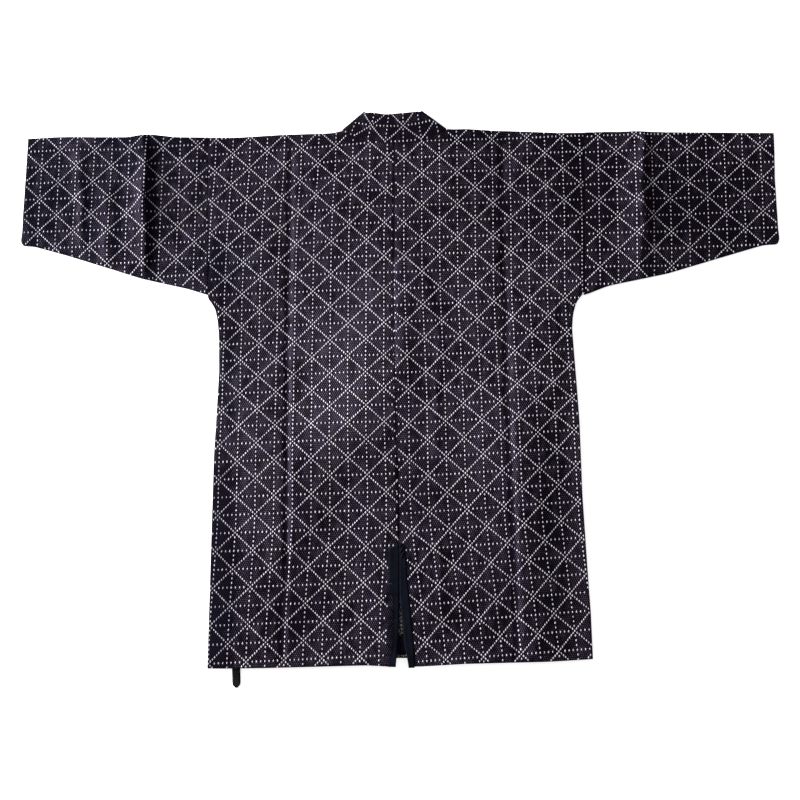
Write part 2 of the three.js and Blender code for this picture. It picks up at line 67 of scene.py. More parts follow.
# Woven cloth
# Heavy cotton in dark indigo, woven with small raised grains, with white stitches laid over it
# in diamonds and crosses. Its wrong side is a mottled grey.
COTTON_SHINE = 0.01
GROUND_DARK = (0.0026, 0.0016, 0.0040)
GROUND_BLUE = (0.0018, 0.0021, 0.0058)
# Pale colour reached both by worn dye and by painted highlight.
GROUND_PALE = (0.0165, 0.0125, 0.0205)
GRAIN_LIGHT = (0.2300, 0.1830, 0.2750)
REVERSE_DARK = (0.0035, 0.0042, 0.0036)
REVERSE_LIGHT = (0.3600, 0.3700, 0.3200)
# The weave in one repeat of the stitches: half waves of its grains, across and up, and of its ribs.
GRAIN_WAVES = (36, 18)
RIB_WAVES = 72
# How much of the dye has gone, with painted shade and highlight added in: its middle, and what patches,
# large stains and the placed wear and painted shading add.
DYE_MIDDLE = 0.335
PATCH_SHARE = 1.5
STAIN_SHARE = 0.6
WEAR_AND_SHADING_SHARE = 1.2
BLUER_FROM = 0.27


class Wire:
    """One socket of a finish. Arithmetic on it adds the Math nodes."""

    def __init__(self, finish, socket):
        self.finish = finish
        self.socket = socket

    def math(self, operation, first, second=None):
        return self.finish.node("Math", {"operation": operation}, {0: first, 1: second})

    def __add__(self, other):
        return self.math("ADD", self, other)

    def __radd__(self, other):
        return self.math("ADD", other, self)

    def __sub__(self, other):
        return self.math("SUBTRACT", self, other)

    def __rsub__(self, other):
        return self.math("SUBTRACT", other, self)

    def __mul__(self, other):
        return self.math("MULTIPLY", self, other)

    def __rmul__(self, other):
        return self.math("MULTIPLY", other, self)

    def __pow__(self, other):
        return self.math("POWER", self, other)

    def cosine(self):
        return self.math("COSINE", self)

    def atleast(self, other):
        return self.math("MAXIMUM", self, other)

    def atmost(self, other):
        return self.math("MINIMUM", self, other)


class Finish:
    """A node material. Every node but the Math ones is added by node()."""

    def __init__(self, name, roughness):
        self.material = bpy.data.materials.new(name)
        self.material.use_nodes = True
        self.tree = self.material.node_tree
        self.shader = self.tree.nodes["Principled BSDF"]
        self.shader.inputs["Roughness"].default_value = roughness
        self.shader.inputs["Specular IOR Level"].default_value = COTTON_SHINE

    def node(self, kind, settings, inputs, output=0):
        made = self.tree.nodes.new("ShaderNode" + kind)
        for key, value in settings.items():
            setattr(made, key, value)
        for key, value in inputs.items():
            self.feed(made.inputs[key], value)
        return Wire(self, made.outputs[output])

    def feed(self, socket, value):
        if isinstance(value, Wire):
            self.tree.links.new(value.socket, socket)
        elif value is not None:
            if socket.type == "RGBA":
                value = (*value, 1.0)
            socket.default_value = value

    def blend(self, low, high, share):
        settings = {"data_type": "RGBA"}
        return self.node("Mix", settings, {0: share, 6: low, 7: high}, output=2)

    def noise(self, place, scale, detail=2.0):
        return self.node("TexNoise", {}, {"Vector": place, "Scale": scale, "Detail": detail})

    def finish(self, colour, height=None, depth=0.0, roughness=None):
        self.feed(self.shader.inputs["Base Color"], colour)
        if height is not None:
            bump = self.node("Bump", {}, {"Height": height, "Distance": depth, "Strength": 1.0})
            self.feed(self.shader.inputs["Normal"], bump)
        if roughness is not None:
            self.feed(self.shader.inputs["Roughness"], roughness)
        return self.material


def woven_ground(name):
    cloth = Finish(name, 0.9)
    repeat = cloth.node("UVMap", {"uv_map": "repeat"}, {})
    place = cloth.node("TexCoord", {}, {}, output=3)
    across = cloth.node("SeparateXYZ", {}, {0: repeat}, output=0)
    along = cloth.node("SeparateXYZ", {}, {0: repeat}, output=1)
    right = cloth.node("SeparateXYZ", {}, {0: place}, output=0)
    fine = cloth.noise(place, 900.0)
    # The placed wear together with painted shade and highlight on the creases and seams.
    wear_and_shading = cloth.node("Attribute", {"attribute_name": "wear_and_shading"}, {}, output=2)
    grain_columns = (across * GRAIN_WAVES[0] * math.pi + fine * 0.9).cosine()
    grain_rows = (along * GRAIN_WAVES[1] * math.pi).cosine()
    grain = (grain_columns * grain_rows).atleast(0.0)
    ribs = (along * RIB_WAVES * math.pi + fine * 1.6).cosine() * 0.5 + 0.5
    upright = cloth.node("VectorMath", {"operation": "MULTIPLY"}, {0: place, 1: (1.0, 0.5, 1.0)})
    patches = cloth.noise(upright, 90.0, 3.0)
    stains = cloth.noise(place, 9.0, 2.0)
    # Painted shade darkens the weave beside every row of stitches.
    crossed = (across * 4 * math.pi).cosine().atleast((along * 4 * math.pi).cosine())
    slanted = ((across - along) * 2 * math.pi).cosine().atleast(((across + along) * 2 * math.pi).cosine())
    stitch_shade = ((crossed - 0.84) * 12).atleast((slanted - 0.92) * 23).atleast(0.0).atmost(1.0)
    mottle = (patches - 0.5) * PATCH_SHARE + (stains - 0.5) * STAIN_SHARE
    strength = mottle + DYE_MIDDLE + wear_and_shading * WEAR_AND_SHADING_SHARE
    strength = strength.atleast(0.0).atmost(1.0) * (stitch_shade * -0.5 + 1)
    # The dye is bluer in the stains and towards the left edge.
    bluer = (stains - 0.4) * 3 + (right * -1 - BLUER_FROM) * 3.4
    ground = cloth.blend(GROUND_DARK, GROUND_BLUE, bluer.atleast(0.0).atmost(1.0))
    # Paler where the dye is worn and where highlight is painted, darker where shade is painted.
    rubbed_and_lit = cloth.blend(ground, GROUND_PALE, strength * strength)
    lightness = (grain * grain * 1.25 + ribs * 0.02) * (strength * 0.85 + 0.08)
    colour = cloth.blend(rubbed_and_lit, GRAIN_LIGHT, lightness.atmost(1.0))
    height = grain * 0.8 + ribs * 0.15 + fine * 0.3
    return cloth.finish(colour, height, 0.0009, patches * 0.1 + 0.84)


def reverse_side(name):
    cloth = Finish(name, 0.95)
    repeat = cloth.node("UVMap", {"uv_map": "repeat"}, {})
    cells = cloth.node("TexVoronoi", {}, {"Vector": repeat, "Scale": 22.0})
    speckle = cloth.noise(repeat, 26.0, 3.0)
    colour = cloth.blend(REVERSE_DARK, REVERSE_LIGHT, ((speckle - 0.49) * 6.0).atleast(0.0).atmost(1.0))
    return cloth.finish(colour, cells, 0.0006)


cloth_ground = woven_ground("indigo_weave")
cloth_reverse = reverse_side("indigo_weave_reverse")

# Body panels
# Two lengths of the woven cloth, left and right. Each is the back and the front in one piece,
# folded over the shoulder, joined down the centre back and sewn up the side.
CLOTH = 0.0016
SHOULDER = 0.818
FRONT_SHORTER = 0.012
OVERLAP_TOP = 0.600
SLIT_TOP = 0.168
NECK_START = 0.795
NECK_CENTRE = -0.0102
ARMHOLE_LOW = 0.552
LEFT_CUFF = -0.590
LEFT_HEM_CORNER = -0.27985
HALF_SEAM = -0.00012
FOLD_ROLL = 0.0026
PANEL_WIDTH = 0.285
PANEL_STEP = 0.0040
FIRST_COLUMN = 0.0105
BACK_SETTLING = 14
EDGE_ROUND = 0.0034
EDGE_FALL = 0.0016
HEM_ROUND = 0.0022
HEM_FALL = 0.0009
FADE_REACH = 0.03
GROOVE_WIDTH = 0.0045
CENTRE_GROOVE = 0.0002
SEAM_BLEND = 0.045
SEAM_LAP = 0.0002
SLEEVE_GROOVE = 0.0002

SIDE = {
    -1: [(0, -.280), (.313, -.280), (.440, -.2765), (.498, -.2785), (.520, -.281), (.538, -.285),
         (.549, -.291), (.555, -.297), (.818, -.305)],
    1: [(0, .279), (.066, .278), (.135, .2745), (.240, .2705), (.349, .2695), (.424, .2665),
        (.498, .263), (.520, .265), (.538, .270), (.549, .277), (.555, .284), (.818, .292)],
}
CENTRE_BACK = {
    -1: [(0, -.0087), (.020, -.0070), (.043, -.0059), (.063, -.0054), (.089, -.0050), (.120, -.0034),
         (.166, -.0032), (.168, -.0028), (.240, -.0031), (.337, -.0064), (.498, -.0092), (.593, -.0106),
         (.795, -.0104)],
    1: [(0, .0137), (.020, .0094), (.043, .0062), (.063, .0046), (.089, .0024), (.120, .0010),
        (.166, -.0012), (.168, -.0026), (.240, -.0029), (.337, -.0062), (.498, -.0090), (.593, -.0104),
        (.795, -.0102)],
}
BINDING_EDGE = {
    -1: [(0, -.0182), (.089, -.0178), (.150, -.0172), (.168, -.0170)],
    1: [(0, .0207), (.015, .0200), (.034, .0184), (.063, .0155), (.089, .0130), (.120, .0100),
        (.150, .0078), (.168, .0072)],
}
NECK_X = {
    -1: [(.794, -.0102), (.798, -.0102), (.803, -.034), (.808, -.058), (.813, -.078), (.818, -.0923)],
    1: [(.794, -.0102), (.798, -.0102), (.803, .016), (.808, .040), (.813, .060), (.818, .0745)],
}
NECK_Y = {
    -1: [(.794, .7945), (.798, .8040), (.803, .8053), (.808, .8102), (.813, .8156), (.818, .8232)],
    1: [(.794, .7945), (.798, .8040), (.803, .8048), (.808, .8092), (.813, .8166), (.818, .8238)],
}
TOP = [(-.590, .811), (-.546, .814), (-.432, .814), (-.396, .818), (-.356, .814), (-.260, .813),
       (-.184, .818), (-.115, .8195), (-.102, .8210), (-.090, .8262), (.068, .8272), (.079, .8245),
       (.101, .826), (.177, .824), (.254, .821), (.330, .823), (.592, .821)]
HEM = [(-.285, -.005), (-.200, -.004), (-.047, 0), (-.012, -.002), (.023, -.002), (.093, .002),
       (.214, .005), (.285, .009)]
FRONT_EDGE = {
    -1: [(0, .128), (.230, .125), (.600, -.006), (.8184, -.0923)],
    1: [(0, -.140), (.230, -.137), (.600, -.008), (.8214, .0755)],
}
CENTRE_FRONT = {-1: -.006, 1: -.008}
NECK_EDGE = sorted((x, y) for side in (-1, 1)
                   for (_, x), (_, y) in zip(NECK_X[side][1:], NECK_Y[side][1:]))

# Creases that show on the back: the line of each, its rise, and how far it spreads to its left
# and to its right. A rise below 0 is a trough.
CREASES = [
    {"from": (-.4030, .822), "to": (-.3990, .700), "rise": .0048, "spread": (.0100, .0034)},
    {"from": (-.3990, .705), "to": (-.3925, .588), "rise": .0040, "spread": (.0100, .0036)},
    {"from": (.3825, .825), "to": (.3765, .700), "rise": .0044, "spread": (.0070, .0036)},
    {"from": (.3765, .705), "to": (.3715, .584), "rise": .0034, "spread": (.0070, .0040)},
    {"from": (-.5080, .800), "to": (-.4990, .700), "rise": .0022, "spread": (.0075, .0065)},
    {"from": (-.4990, .705), "to": (-.4970, .625), "rise": .0018, "spread": (.0070, .0060)},
    {"from": (-.4620, .712), "to": (-.4550, .602), "rise": .0018, "spread": (.0055, .0060)},
    {"from": (-.4480, .800), "to": (-.4430, .700), "rise": -.0012, "spread": (.0080, .0070)},
    {"from": (-.5480, .790), "to": (-.5560, .660), "rise": .0010, "spread": (.0090, .0080)},
    {"from": (-.1755, .800), "to": (-.1755, .550), "rise": -.0014, "spread": (.0050, .0030)},
    {"from": (-.1755, .555), "to": (-.1712, .310), "rise": -.0020, "spread": (.0050, .0030)},
    {"from": (-.1712, .315), "to": (-.1693, .150), "rise": -.0022, "spread": (.0055, .0030)},
    {"from": (-.1693, .155), "to": (-.1728, .006), "rise": -.0018, "spread": (.0060, .0034)},
    {"from": (-.1665, .660), "to": (-.1650, .400), "rise": .0013, "spread": (.0034, .0070)},
    {"from": (-.1650, .405), "to": (-.1625, .160), "rise": .0016, "spread": (.0034, .0080)},
    {"from": (-.1625, .165), "to": (-.1668, .012), "rise": .0013, "spread": (.0034, .0080)},
    {"from": (.1580, .812), "to": (.1580, .610), "rise": -.0013, "spread": (.0055, .0040)},
    {"from": (.1580, .615), "to": (.1585, .400), "rise": -.0016, "spread": (.0055, .0040)},
    {"from": (.1588, .405), "to": (.1658, .110), "rise": -.0019, "spread": (.0055, .0034)},
    {"from": (.1658, .115), "to": (.1683, .010), "rise": -.0016, "spread": (.0055, .0034)},
    {"from": (.1682, .570), "to": (.1690, .340), "rise": .0013, "spread": (.0036, .0080)},
    {"from": (.1690, .345), "to": (.1745, .030), "rise": .0015, "spread": (.0036, .0090)},
    {"from": (.0560, .460), "to": (.0585, .080), "rise": .0012, "spread": (.0060, .0080)},
    {"from": (-.2740, .356), "to": (-.1760, .388), "rise": .0014, "spread": (.0080, .0080)},
    {"from": (.1660, .403), "to": (.2640, .419), "rise": .0014, "spread": (.0080, .0080)},
    {"from": (-.0690, .350), "to": (-.1580, .280), "rise": -.0012, "spread": (.0080, .0100)},
    {"from": (-.1650, .690), "to": (-.0600, .760), "rise": .0009, "spread": (.0100, .0100)},
    {"from": (.0200, .700), "to": (.1400, .660), "rise": -.0008, "spread": (.0110, .0110)},
    {"from": (-.2680, .250), "to": (-.1900, .210), "rise": -.0009, "spread": (.0090, .0090)},
    {"from": (.1800, .240), "to": (.2680, .200), "rise": .0010, "spread": (.0100, .0100)},
    {"from": (.2900, .700), "to": (.3520, .655), "rise": -.0010, "spread": (.0090, .0090)},
    {"from": (.4200, .790), "to": (.4400, .640), "rise": -.0012, "spread": (.0090, .0090)},
    {"from": (.5100, .800), "to": (.5050, .640), "rise": .0010, "spread": (.0080, .0080)},
    {"from": (-.3200, .640), "to": (-.2750, .560), "rise": .0014, "spread": (.0070, .0070)},
    {"from": (.3000, .630), "to": (.2620, .560), "rise": .0014, "spread": (.0070, .0070)},
]

# Broad swells of the cloth: the middle of each, half its length and half its width, the angle of
# its length, and its rise.
SWELLS = [
    {"at": (-.085, .350), "half": (.125, .058), "turn": 48, "rise": .0070},
    {"at": (-.277, .130), "half": (.170, .026), "turn": 91, "rise": .0022},
    {"at": (.190, .200), "half": (.230, .048), "turn": 91, "rise": .0044},
    {"at": (.205, .460), "half": (.110, .050), "turn": 70, "rise": .0018},
    {"at": (.400, .710), "half": (.140, .110), "turn": 90, "rise": .0036},
    {"at": (-.420, .710), "half": (.120, .035), "turn": 88, "rise": .0016},
    {"at": (-.230, .480), "half": (.120, .035), "turn": 84, "rise": .0020},
    {"at": (.085, .560), "half": (.120, .050), "turn": 100, "rise": .0018},
    {"at": (-.100, .110), "half": (.110, .045), "turn": 75, "rise": .0024},
    {"at": (.095, .190), "half": (.120, .040), "turn": 95, "rise": .0016},
    {"at": (-.120, .660), "half": (.110, .050), "turn": 60, "rise": .0016},
]

# Areas where the cloth is painted paler (above 0) or darker (below 0): partly worn dye, partly painted
# highlight and painted shade, such as the shadow in the dent of the collar and the darker right cuff.
WORN_AND_SHADED = [
    {"at": (-.085, .430), "half": (.160, .075), "turn": 80, "wear_and_shading": .24},
    {"at": (-.055, .560), "half": (.090, .036), "turn": 88, "wear_and_shading": .10},
    {"at": (-.072, .350), "half": (.120, .048), "turn": 84, "wear_and_shading": .18},
    {"at": (-.215, .215), "half": (.055, .034), "turn": 85, "wear_and_shading": .08},
    {"at": (-.200, .300), "half": (.200, .060), "turn": 88, "wear_and_shading": .10},
    {"at": (-.266, .430), "half": (.190, .019), "turn": 89, "wear_and_shading": -.14},
    {"at": (-.262, .476), "half": (.024, .007), "turn": 90, "wear_and_shading": -.28},
    {"at": (-.259, .371), "half": (.020, .007), "turn": 90, "wear_and_shading": -.24},
    {"at": (-.072, .450), "half": (.030, .005), "turn": 84, "wear_and_shading": -.28},
    {"at": (-.159, .429), "half": (.018, .010), "turn": 122, "wear_and_shading": -.34},
    {"at": (.241, .521), "half": (.020, .004), "turn": 90, "wear_and_shading": -.34},
    {"at": (-.144, .066), "half": (.042, .012), "turn": 58, "wear_and_shading": -.24},
    {"at": (-.081, .067), "half": (.034, .010), "turn": 68, "wear_and_shading": -.20},
    {"at": (-.078, .285), "half": (.110, .028), "turn": 54, "wear_and_shading": -.16},
    {"at": (-.028, .8405), "half": (.009, .006), "turn": 20, "wear_and_shading": -.55},
    {"at": (-.175, .080), "half": (.060, .036), "turn": 95, "wear_and_shading": -.26},
    {"at": (-.130, .150), "half": (.120, .040), "turn": 86, "wear_and_shading": -.10},
    {"at": (-.062, .160), "half": (.150, .028), "turn": 89, "wear_and_shading": .13},
    {"at": (-.186, .195), "half": (.075, .020), "turn": 90, "wear_and_shading": .15},
    {"at": (-.188, .360), "half": (.060, .018), "turn": 90, "wear_and_shading": -.13},
    {"at": (-.146, .335), "half": (.030, .016), "turn": 90, "wear_and_shading": .14},
    {"at": (.048, .170), "half": (.190, .034), "turn": 90, "wear_and_shading": -.10},
    {"at": (.118, .085), "half": (.085, .040), "turn": 90, "wear_and_shading": -.12},
    {"at": (.065, .535), "half": (.055, .018), "turn": 99, "wear_and_shading": -.22},
    {"at": (-.036, .535), "half": (.050, .016), "turn": 90, "wear_and_shading": .13},
    {"at": (-.500, .745), "half": (.095, .090), "turn": 0, "wear_and_shading": -.13},
    {"at": (-.300, .755), "half": (.050, .085), "turn": 0, "wear_and_shading": -.13},
    {"at": (-.118, .725), "half": (.054, .068), "turn": 0, "wear_and_shading": -.19},
    {"at": (-.256, .545), "half": (.085, .018), "turn": 90, "wear_and_shading": -.10},
    {"at": (.218, .190), "half": (.215, .034), "turn": 91, "wear_and_shading": -.26},
    {"at": (.263, .260), "half": (.240, .015), "turn": 91, "wear_and_shading": .20},
    {"at": (.110, .300), "half": (.090, .030), "turn": 90, "wear_and_shading": .12},
    {"at": (.105, .560), "half": (.080, .044), "turn": 80, "wear_and_shading": .13},
    {"at": (.160, .095), "half": (.070, .030), "turn": 90, "wear_and_shading": -.12},
    {"at": (.018, .380), "half": (.260, .016), "turn": 91, "wear_and_shading": -.12},
    {"at": (.060, .420), "half": (.160, .080), "turn": 85, "wear_and_shading": .04},
    {"at": (.480, .710), "half": (.130, .120), "turn": 0, "wear_and_shading": -.30},
    {"at": (.300, .735), "half": (.050, .090), "turn": 0, "wear_and_shading": -.24},
    {"at": (.352, .700), "half": (.070, .020), "turn": 88, "wear_and_shading": .16},
    {"at": (.200, .730), "half": (.110, .085), "turn": 0, "wear_and_shading": -.19},
    {"at": (0, .818), "half": (.420, .022), "turn": 0, "wear_and_shading": -.16},
    {"at": (-.420, .800), "half": (.060, .034), "turn": 0, "wear_and_shading": -.22},
    {"at": (-.560, .720), "half": (.040, .120), "turn": 0, "wear_and_shading": -.14},
    {"at": (-.285, .600), "half": (.050, .016), "turn": 80, "wear_and_shading": -.35},
    {"at": (0, .835), "half": (.110, .028), "turn": 0, "wear_and_shading": -.20},
]

# Narrow lines of painted shade (below 0) and painted highlight (above 0) beside the creases and seams,
# such as the shadow cast by the left sleeve's crest; the pale ones partly stand for rubbed dye. Each
# line's places from the hem up, as height and x, half its width, and its wear and shading.
SHADING_LINES = [
    {"line": [(.013, -.1731), (.069, -.1691), (.208, -.1696), (.313, -.1708), (.420, -.1736),
              (.558, -.1755), (.809, -.1755)], "half": .0030, "wear_and_shading": -.48},
    {"line": [(.020, -.1674), (.093, -.1637), (.208, -.1621), (.313, -.1633), (.411, -.1651)],
     "half": .0034, "wear_and_shading": .34},
    {"line": [(.451, -.1658), (.558, -.1661), (.676, -.1675), (.809, -.1691)], "half": .0030, "wear_and_shading": .28},
    {"line": [(.020, .1683), (.092, .1660), (.217, .1647), (.319, .1613), (.405, .1590), (.546, .1600),
              (.678, .1576), (.809, .1582)], "half": .0036, "wear_and_shading": -.40},
    {"line": [(.020, .1749), (.150, .1738), (.238, .1710), (.351, .1687)], "half": .0030, "wear_and_shading": .26},
    {"line": [(.436, .1687), (.562, .1680)], "half": .0036, "wear_and_shading": .22},
    {"line": [(.459, .0699), (.498, .0610), (.562, .0460), (.631, .0308)], "half": .0046, "wear_and_shading": -.22},
    {"line": [(.238, .0548), (.436, .0576)], "half": .0040, "wear_and_shading": -.24},
    {"line": [(.302, .0417), (.380, .0406)], "half": .0036, "wear_and_shading": .26},
    {"line": [(.052, .0683), (.167, .0603)], "half": .0046, "wear_and_shading": -.20},
    {"line": [(.179, -.0037), (.389, -.0079)], "half": .0024, "wear_and_shading": -.20},
    {"line": [(.620, -.0107), (.800, -.0112)], "half": .0018, "wear_and_shading": -.50},
    {"line": [(.562, .2822), (.809, .2913)], "half": .0050, "wear_and_shading": -.30},
    {"line": [(.546, -.2792), (.618, -.2783)], "half": .0060, "wear_and_shading": -.34},
    {"line": [(.003, -.2640), (.180, -.2645), (.277, -.2690)], "half": .0200, "wear_and_shading": -.50},
    {"line": [(.546, -.0465), (.659, -.0526)], "half": .0050, "wear_and_shading": .22},
    {"line": [(.433, -.0262), (.530, -.0280)], "half": .0050, "wear_and_shading": .20},
    {"line": [(.575, -.3850), (.822, -.3956)], "half": .0088, "wear_and_shading": -.60},
    {"line": [(.590, .3882), (.815, .3978)], "half": .0080, "wear_and_shading": -.16},
    {"line": [(.623, -.4970), (.676, -.5012), (.770, -.5149), (.809, -.5376)], "half": .0060, "wear_and_shading": .18},
    {"line": [(.617, -.4645), (.684, -.4670)], "half": .0060, "wear_and_shading": .18},
    {"line": [(.675, -.4547), (.791, -.4575)], "half": .0060, "wear_and_shading": .10},
    {"line": [(.645, -.4895), (.765, -.4955)], "half": .0060, "wear_and_shading": -.20},
    {"line": [(.609, -.4410), (.729, -.4465)], "half": .0075, "wear_and_shading": -.24},
    {"line": [(.640, -.5725), (.727, -.5815)], "half": .0065, "wear_and_shading": -.30},
]


def mix(low, high, share):
    return low + (high - low) * share


def clamp(value):
    return max(0.0, min(1.0, value))


def ease(value):
    return clamp(value) ** 2 * (3 - 2 * clamp(value))


def lookup(table, at, column=1):
    """A column of a table at a place between two values of its first column."""
    rows = zip(table, table[1:])
    low, high = next((pair for pair in rows if at <= pair[1][0]), (table[-2], table[-1]))
    return mix(low[column], high[column], clamp((at - low[0]) / (high[0] - low[0])))


def softly(table, at, reach=0.007):
    """The same, with the corners of the table rounded."""
    return (lookup(table, at - reach) + 2 * lookup(table, at) + lookup(table, at + reach)) / 4


def side_seam(side, height):
    return softly(SIDE[side], height, 0.004) - side * HALF_SEAM


def row_y(height, x, raised=0.0):
    """Height above the hem of a thread that follows the hem below and the shoulder above."""
    return mix(softly(HEM, x) + raised, softly(TOP, x) - FOLD_ROLL, height / SHOULDER)


# Drafted places move onto the frame: the left cuff gives x, the left hem gives y.
draft_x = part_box("sleeve_left")[0].x - LEFT_CUFF
draft_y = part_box("body_left")[0].y - lookup(HEM, LEFT_HEM_CORNER)


def cad_tree(name):
    """The solid of a node, to be looked at from above or below."""
    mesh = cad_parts[name].data
    corners = [v.co.copy() for v in mesh.vertices]
    return BVHTree.FromPolygons(corners, [list(polygon.vertices) for polygon in mesh.polygons])


INSIDE = 0.0012
# A height well outside the cloth, one near the back, and one between the back and the front.
OUTSIDE_Z = 0.1
BACK_Z = 0.006
MIDDLE_Z = 0.003


def level(tree, x, y, above=True):
    """The highest or lowest height of a tree at a drafted place, or at the nearest one to it."""
    start = Vector((x + draft_x, y + draft_y, OUTSIDE_Z if above else -OUTSIDE_Z))
    hit = tree.ray_cast(start, Vector((0, 0, -1 if above else 1)))[0]
    if hit is None:
        start.z = BACK_Z if above else 0.0
        hit = tree.find_nearest(start)[0]
    return hit.z


def inset(value, one, other):
    """A place between two edges, kept a little inside both, where the solid is sure to be met."""
    low, high = sorted((one, other))
    return min(max(value, low + INSIDE), high - INSIDE)


def crease_height(x, y):
    """The rise of all the creases at a drafted place. Each wanders a little and is uneven."""
    height = 0.0
    for crease in CREASES:
        start, end = Vector(crease["from"]), Vector(crease["to"])
        run = (end - start).normalized()
        length = (end - start).length
        offset = Vector((x, y)) - start
        place = offset.dot(run)
        past = max(0.0, -place, place - length)
        wander = (0.0013 * math.sin(place * 55 + start.x * 90)
                  + 0.0007 * math.sin(place * 131 + start.y * 70))
        across = offset.y * run.x - offset.x * run.y + wander
        across *= -1 if run.y > abs(run.x) else 1
        spread = crease["spread"][0 if across < 0 else 1]
        if abs(across) < 4 * spread and past < 0.05:
            uneven = 0.85 + 0.25 * math.sin(place * 37 + start.x * 50)
            height += (crease["rise"] * uneven * math.exp(-(across / spread) ** 2)
                       * math.exp(-(past / 0.012) ** 2))
    return height


def remoteness(area, x, y):
    """0 in the middle of a turned ellipse, 1 on its edge, and more outside it."""
    turn = math.radians(area["turn"])
    off_x, off_y = x - area["at"][0], y - area["at"][1]
    along = off_x * math.cos(turn) + off_y * math.sin(turn)
    across = off_y * math.cos(turn) - off_x * math.sin(turn)
    return (along / area["half"][0]) ** 2 + (across / area["half"][1]) ** 2


def swell_height(x, y):
    """The swelling that a heavy cloth keeps however flat it lies."""
    waves = 0.00040 * math.sin(x * 61 + 1.3 * math.sin(y * 23)) * math.sin(y * 47 + 0.8 * math.sin(x * 31))
    ripples = 0.00022 * math.sin(x * 143 + y * 37) * math.sin(y * 119 - x * 29)
    height = waves + ripples
    for swell in SWELLS:
        far = remoteness(swell, x, y)
        height += swell["rise"] * math.exp(-far) if far < 9 else 0.0
    return height


# Creases are painted paler on their ridges and darker in their troughs: painted highlight and painted
# shade, partly standing for rubbed dye.
WEAR_AND_SHADE_PER_RISE = 70
DARKEST, PALEST = -0.60, 0.80


def wear_and_shading_at(x, y):
    """How much paler (above 0) or darker the cloth is at a drafted place, from worn dye and from painted
    shade and highlight on its creases and seams.
    """
    wear_and_shading = WEAR_AND_SHADE_PER_RISE * crease_height(x, y)
    for area in WORN_AND_SHADED:
        far = remoteness(area, x, y)
        wear_and_shading += area["wear_and_shading"] * math.exp(-far ** 1.4) if far < 5 else 0.0
    for marking in SHADING_LINES:
        off = abs(x - lookup(marking["line"], y)) / marking["half"]
        past = max(0.0, marking["line"][0][0] - y, y - marking["line"][-1][0])
        wear_and_shading += marking["wear_and_shading"] * math.exp(-off ** 3 - (past / .010) ** 2) if off < 2 else 0.0
    return max(DARKEST, min(PALEST, wear_and_shading))


def rounded(distance, radius, drop):
    """How far a surface falls within a radius of its edge, as a quarter ellipse."""
    if distance >= radius:
        return 0.0
    return drop * (1 - math.sqrt(max(0.0, 1 - (1 - distance / radius) ** 2)))


def groove(distance, depth):
    """How far the cloth dips beside a sewn seam."""
    return depth * (1 - ease(distance / GROOVE_WIDTH))


def grid_mesh(columns, rows, place):
    """A grid of columns by rows of points, each one placed by place(column, row)."""
    bm = bmesh.new()
    bmesh.ops.create_grid(bm, x_segments=columns - 1, y_segments=rows - 1, size=0.5)
    for v in bm.verts:
        column = round((v.co.x + 0.5) * (columns - 1))
        row = round((v.co.y + 0.5) * (rows - 1))
        v.co = place(column, row)
    return bm


def settle(bm, rounds, chosen):
    """Takes the facets out of the heights of the chosen points."""
    verts = [v for v, wanted in zip(bm.verts, chosen) if wanted]
    for _ in range(rounds):
        bmesh.ops.smooth_vert(bm, verts=verts, factor=0.5,
                              use_axis_x=False, use_axis_y=False, use_axis_z=True)


def face_out(bm, outward):
    """Turns the faces so that their normals go along outward(centre) on the whole."""
    bm.normal_update()
    score = sum(f.normal.dot(outward(f.calc_center_median())) * f.calc_area() for f in bm.faces)
    if score < 0:
        bmesh.ops.reverse_faces(bm, faces=bm.faces)
    bm.normal_update()


def upward(centre):
    """For a piece that only looks up, whatever the centre of the face."""
    return Vector((0, 0, 1))


def up_or_down(centre):
    """For a folded piece: its back layer looks up and its front layer down."""
    return Vector((0, 0, 1 if centre.z > MIDDLE_Z else -1))


def set_repeat(bm, charts):
    """Writes the stitch repeat's own coordinates as a UV map, and the wear with the painted shade and
    highlight as an attribute.

    charts(up) is the chart of the faces that look up, or of those that look down."""
    wear_and_shading = bm.verts.layers.float.new("wear_and_shading")
    for v in bm.verts:
        v[wear_and_shading] = wear_and_shading_at(v.co.x - draft_x, v.co.y - draft_y) if v.normal.z > 0 else 0.0
    layer = bm.loops.layers.uv.new("repeat")
    for face in bm.faces:
        chart = charts(face.normal.z > 0)
        for loop in face.loops:
            loop[layer].uv = chart_place(chart, loop.vert.co.x - draft_x, loop.vert.co.y - draft_y)


def chart_point(chart, across, up):
    """The drafted place of a point that is given in repeats."""
    x = chart["x"] + chart["across"][0] * across + chart["up"][0] * up
    y = chart["y"] + chart["across"][1] * across + chart["up"][1] * up
    off_x, off_y = chart_drift(chart, x, y)
    return x + off_x, y + off_y


def chart_place(chart, x, y):
    """Repeats across and up from the chart's first crossing to a drafted place."""
    off_x, off_y = chart_drift(chart, x, y)
    right, rise = x - off_x - chart["x"], y - off_y - chart["y"]
    (ax, ay), (ux, uy) = chart["across"], chart["up"]
    area = ax * uy - ay * ux
    return (right * uy - rise * ux) / area, (rise * ax - right * ay) / area


def chart_drift(chart, x, y):
    """How far the threads stray from a straight chart, as the cloth is pulled here and there."""
    off_x, off_y = 0.0, 0.0
    if "drift" in chart:
        at = x if chart["drift_along"] == "x" else y
        off_x, off_y = lookup(chart["drift"], at, 1), lookup(chart["drift"], at, 2)
    if "middle" in chart:
        off_x += lookup(chart["drift"], y, 3) * (x - chart["middle"])
        off_y += lookup(chart["drift"], y, 4) * (x - chart["middle"])
    if "arch" in chart:
        middle_x, middle_y, bend, splay = chart["arch"]
        off_y += bend * (x - middle_x) ** 2
        off_x -= splay * (x - middle_x) * (y - middle_y)
    return off_x, off_y


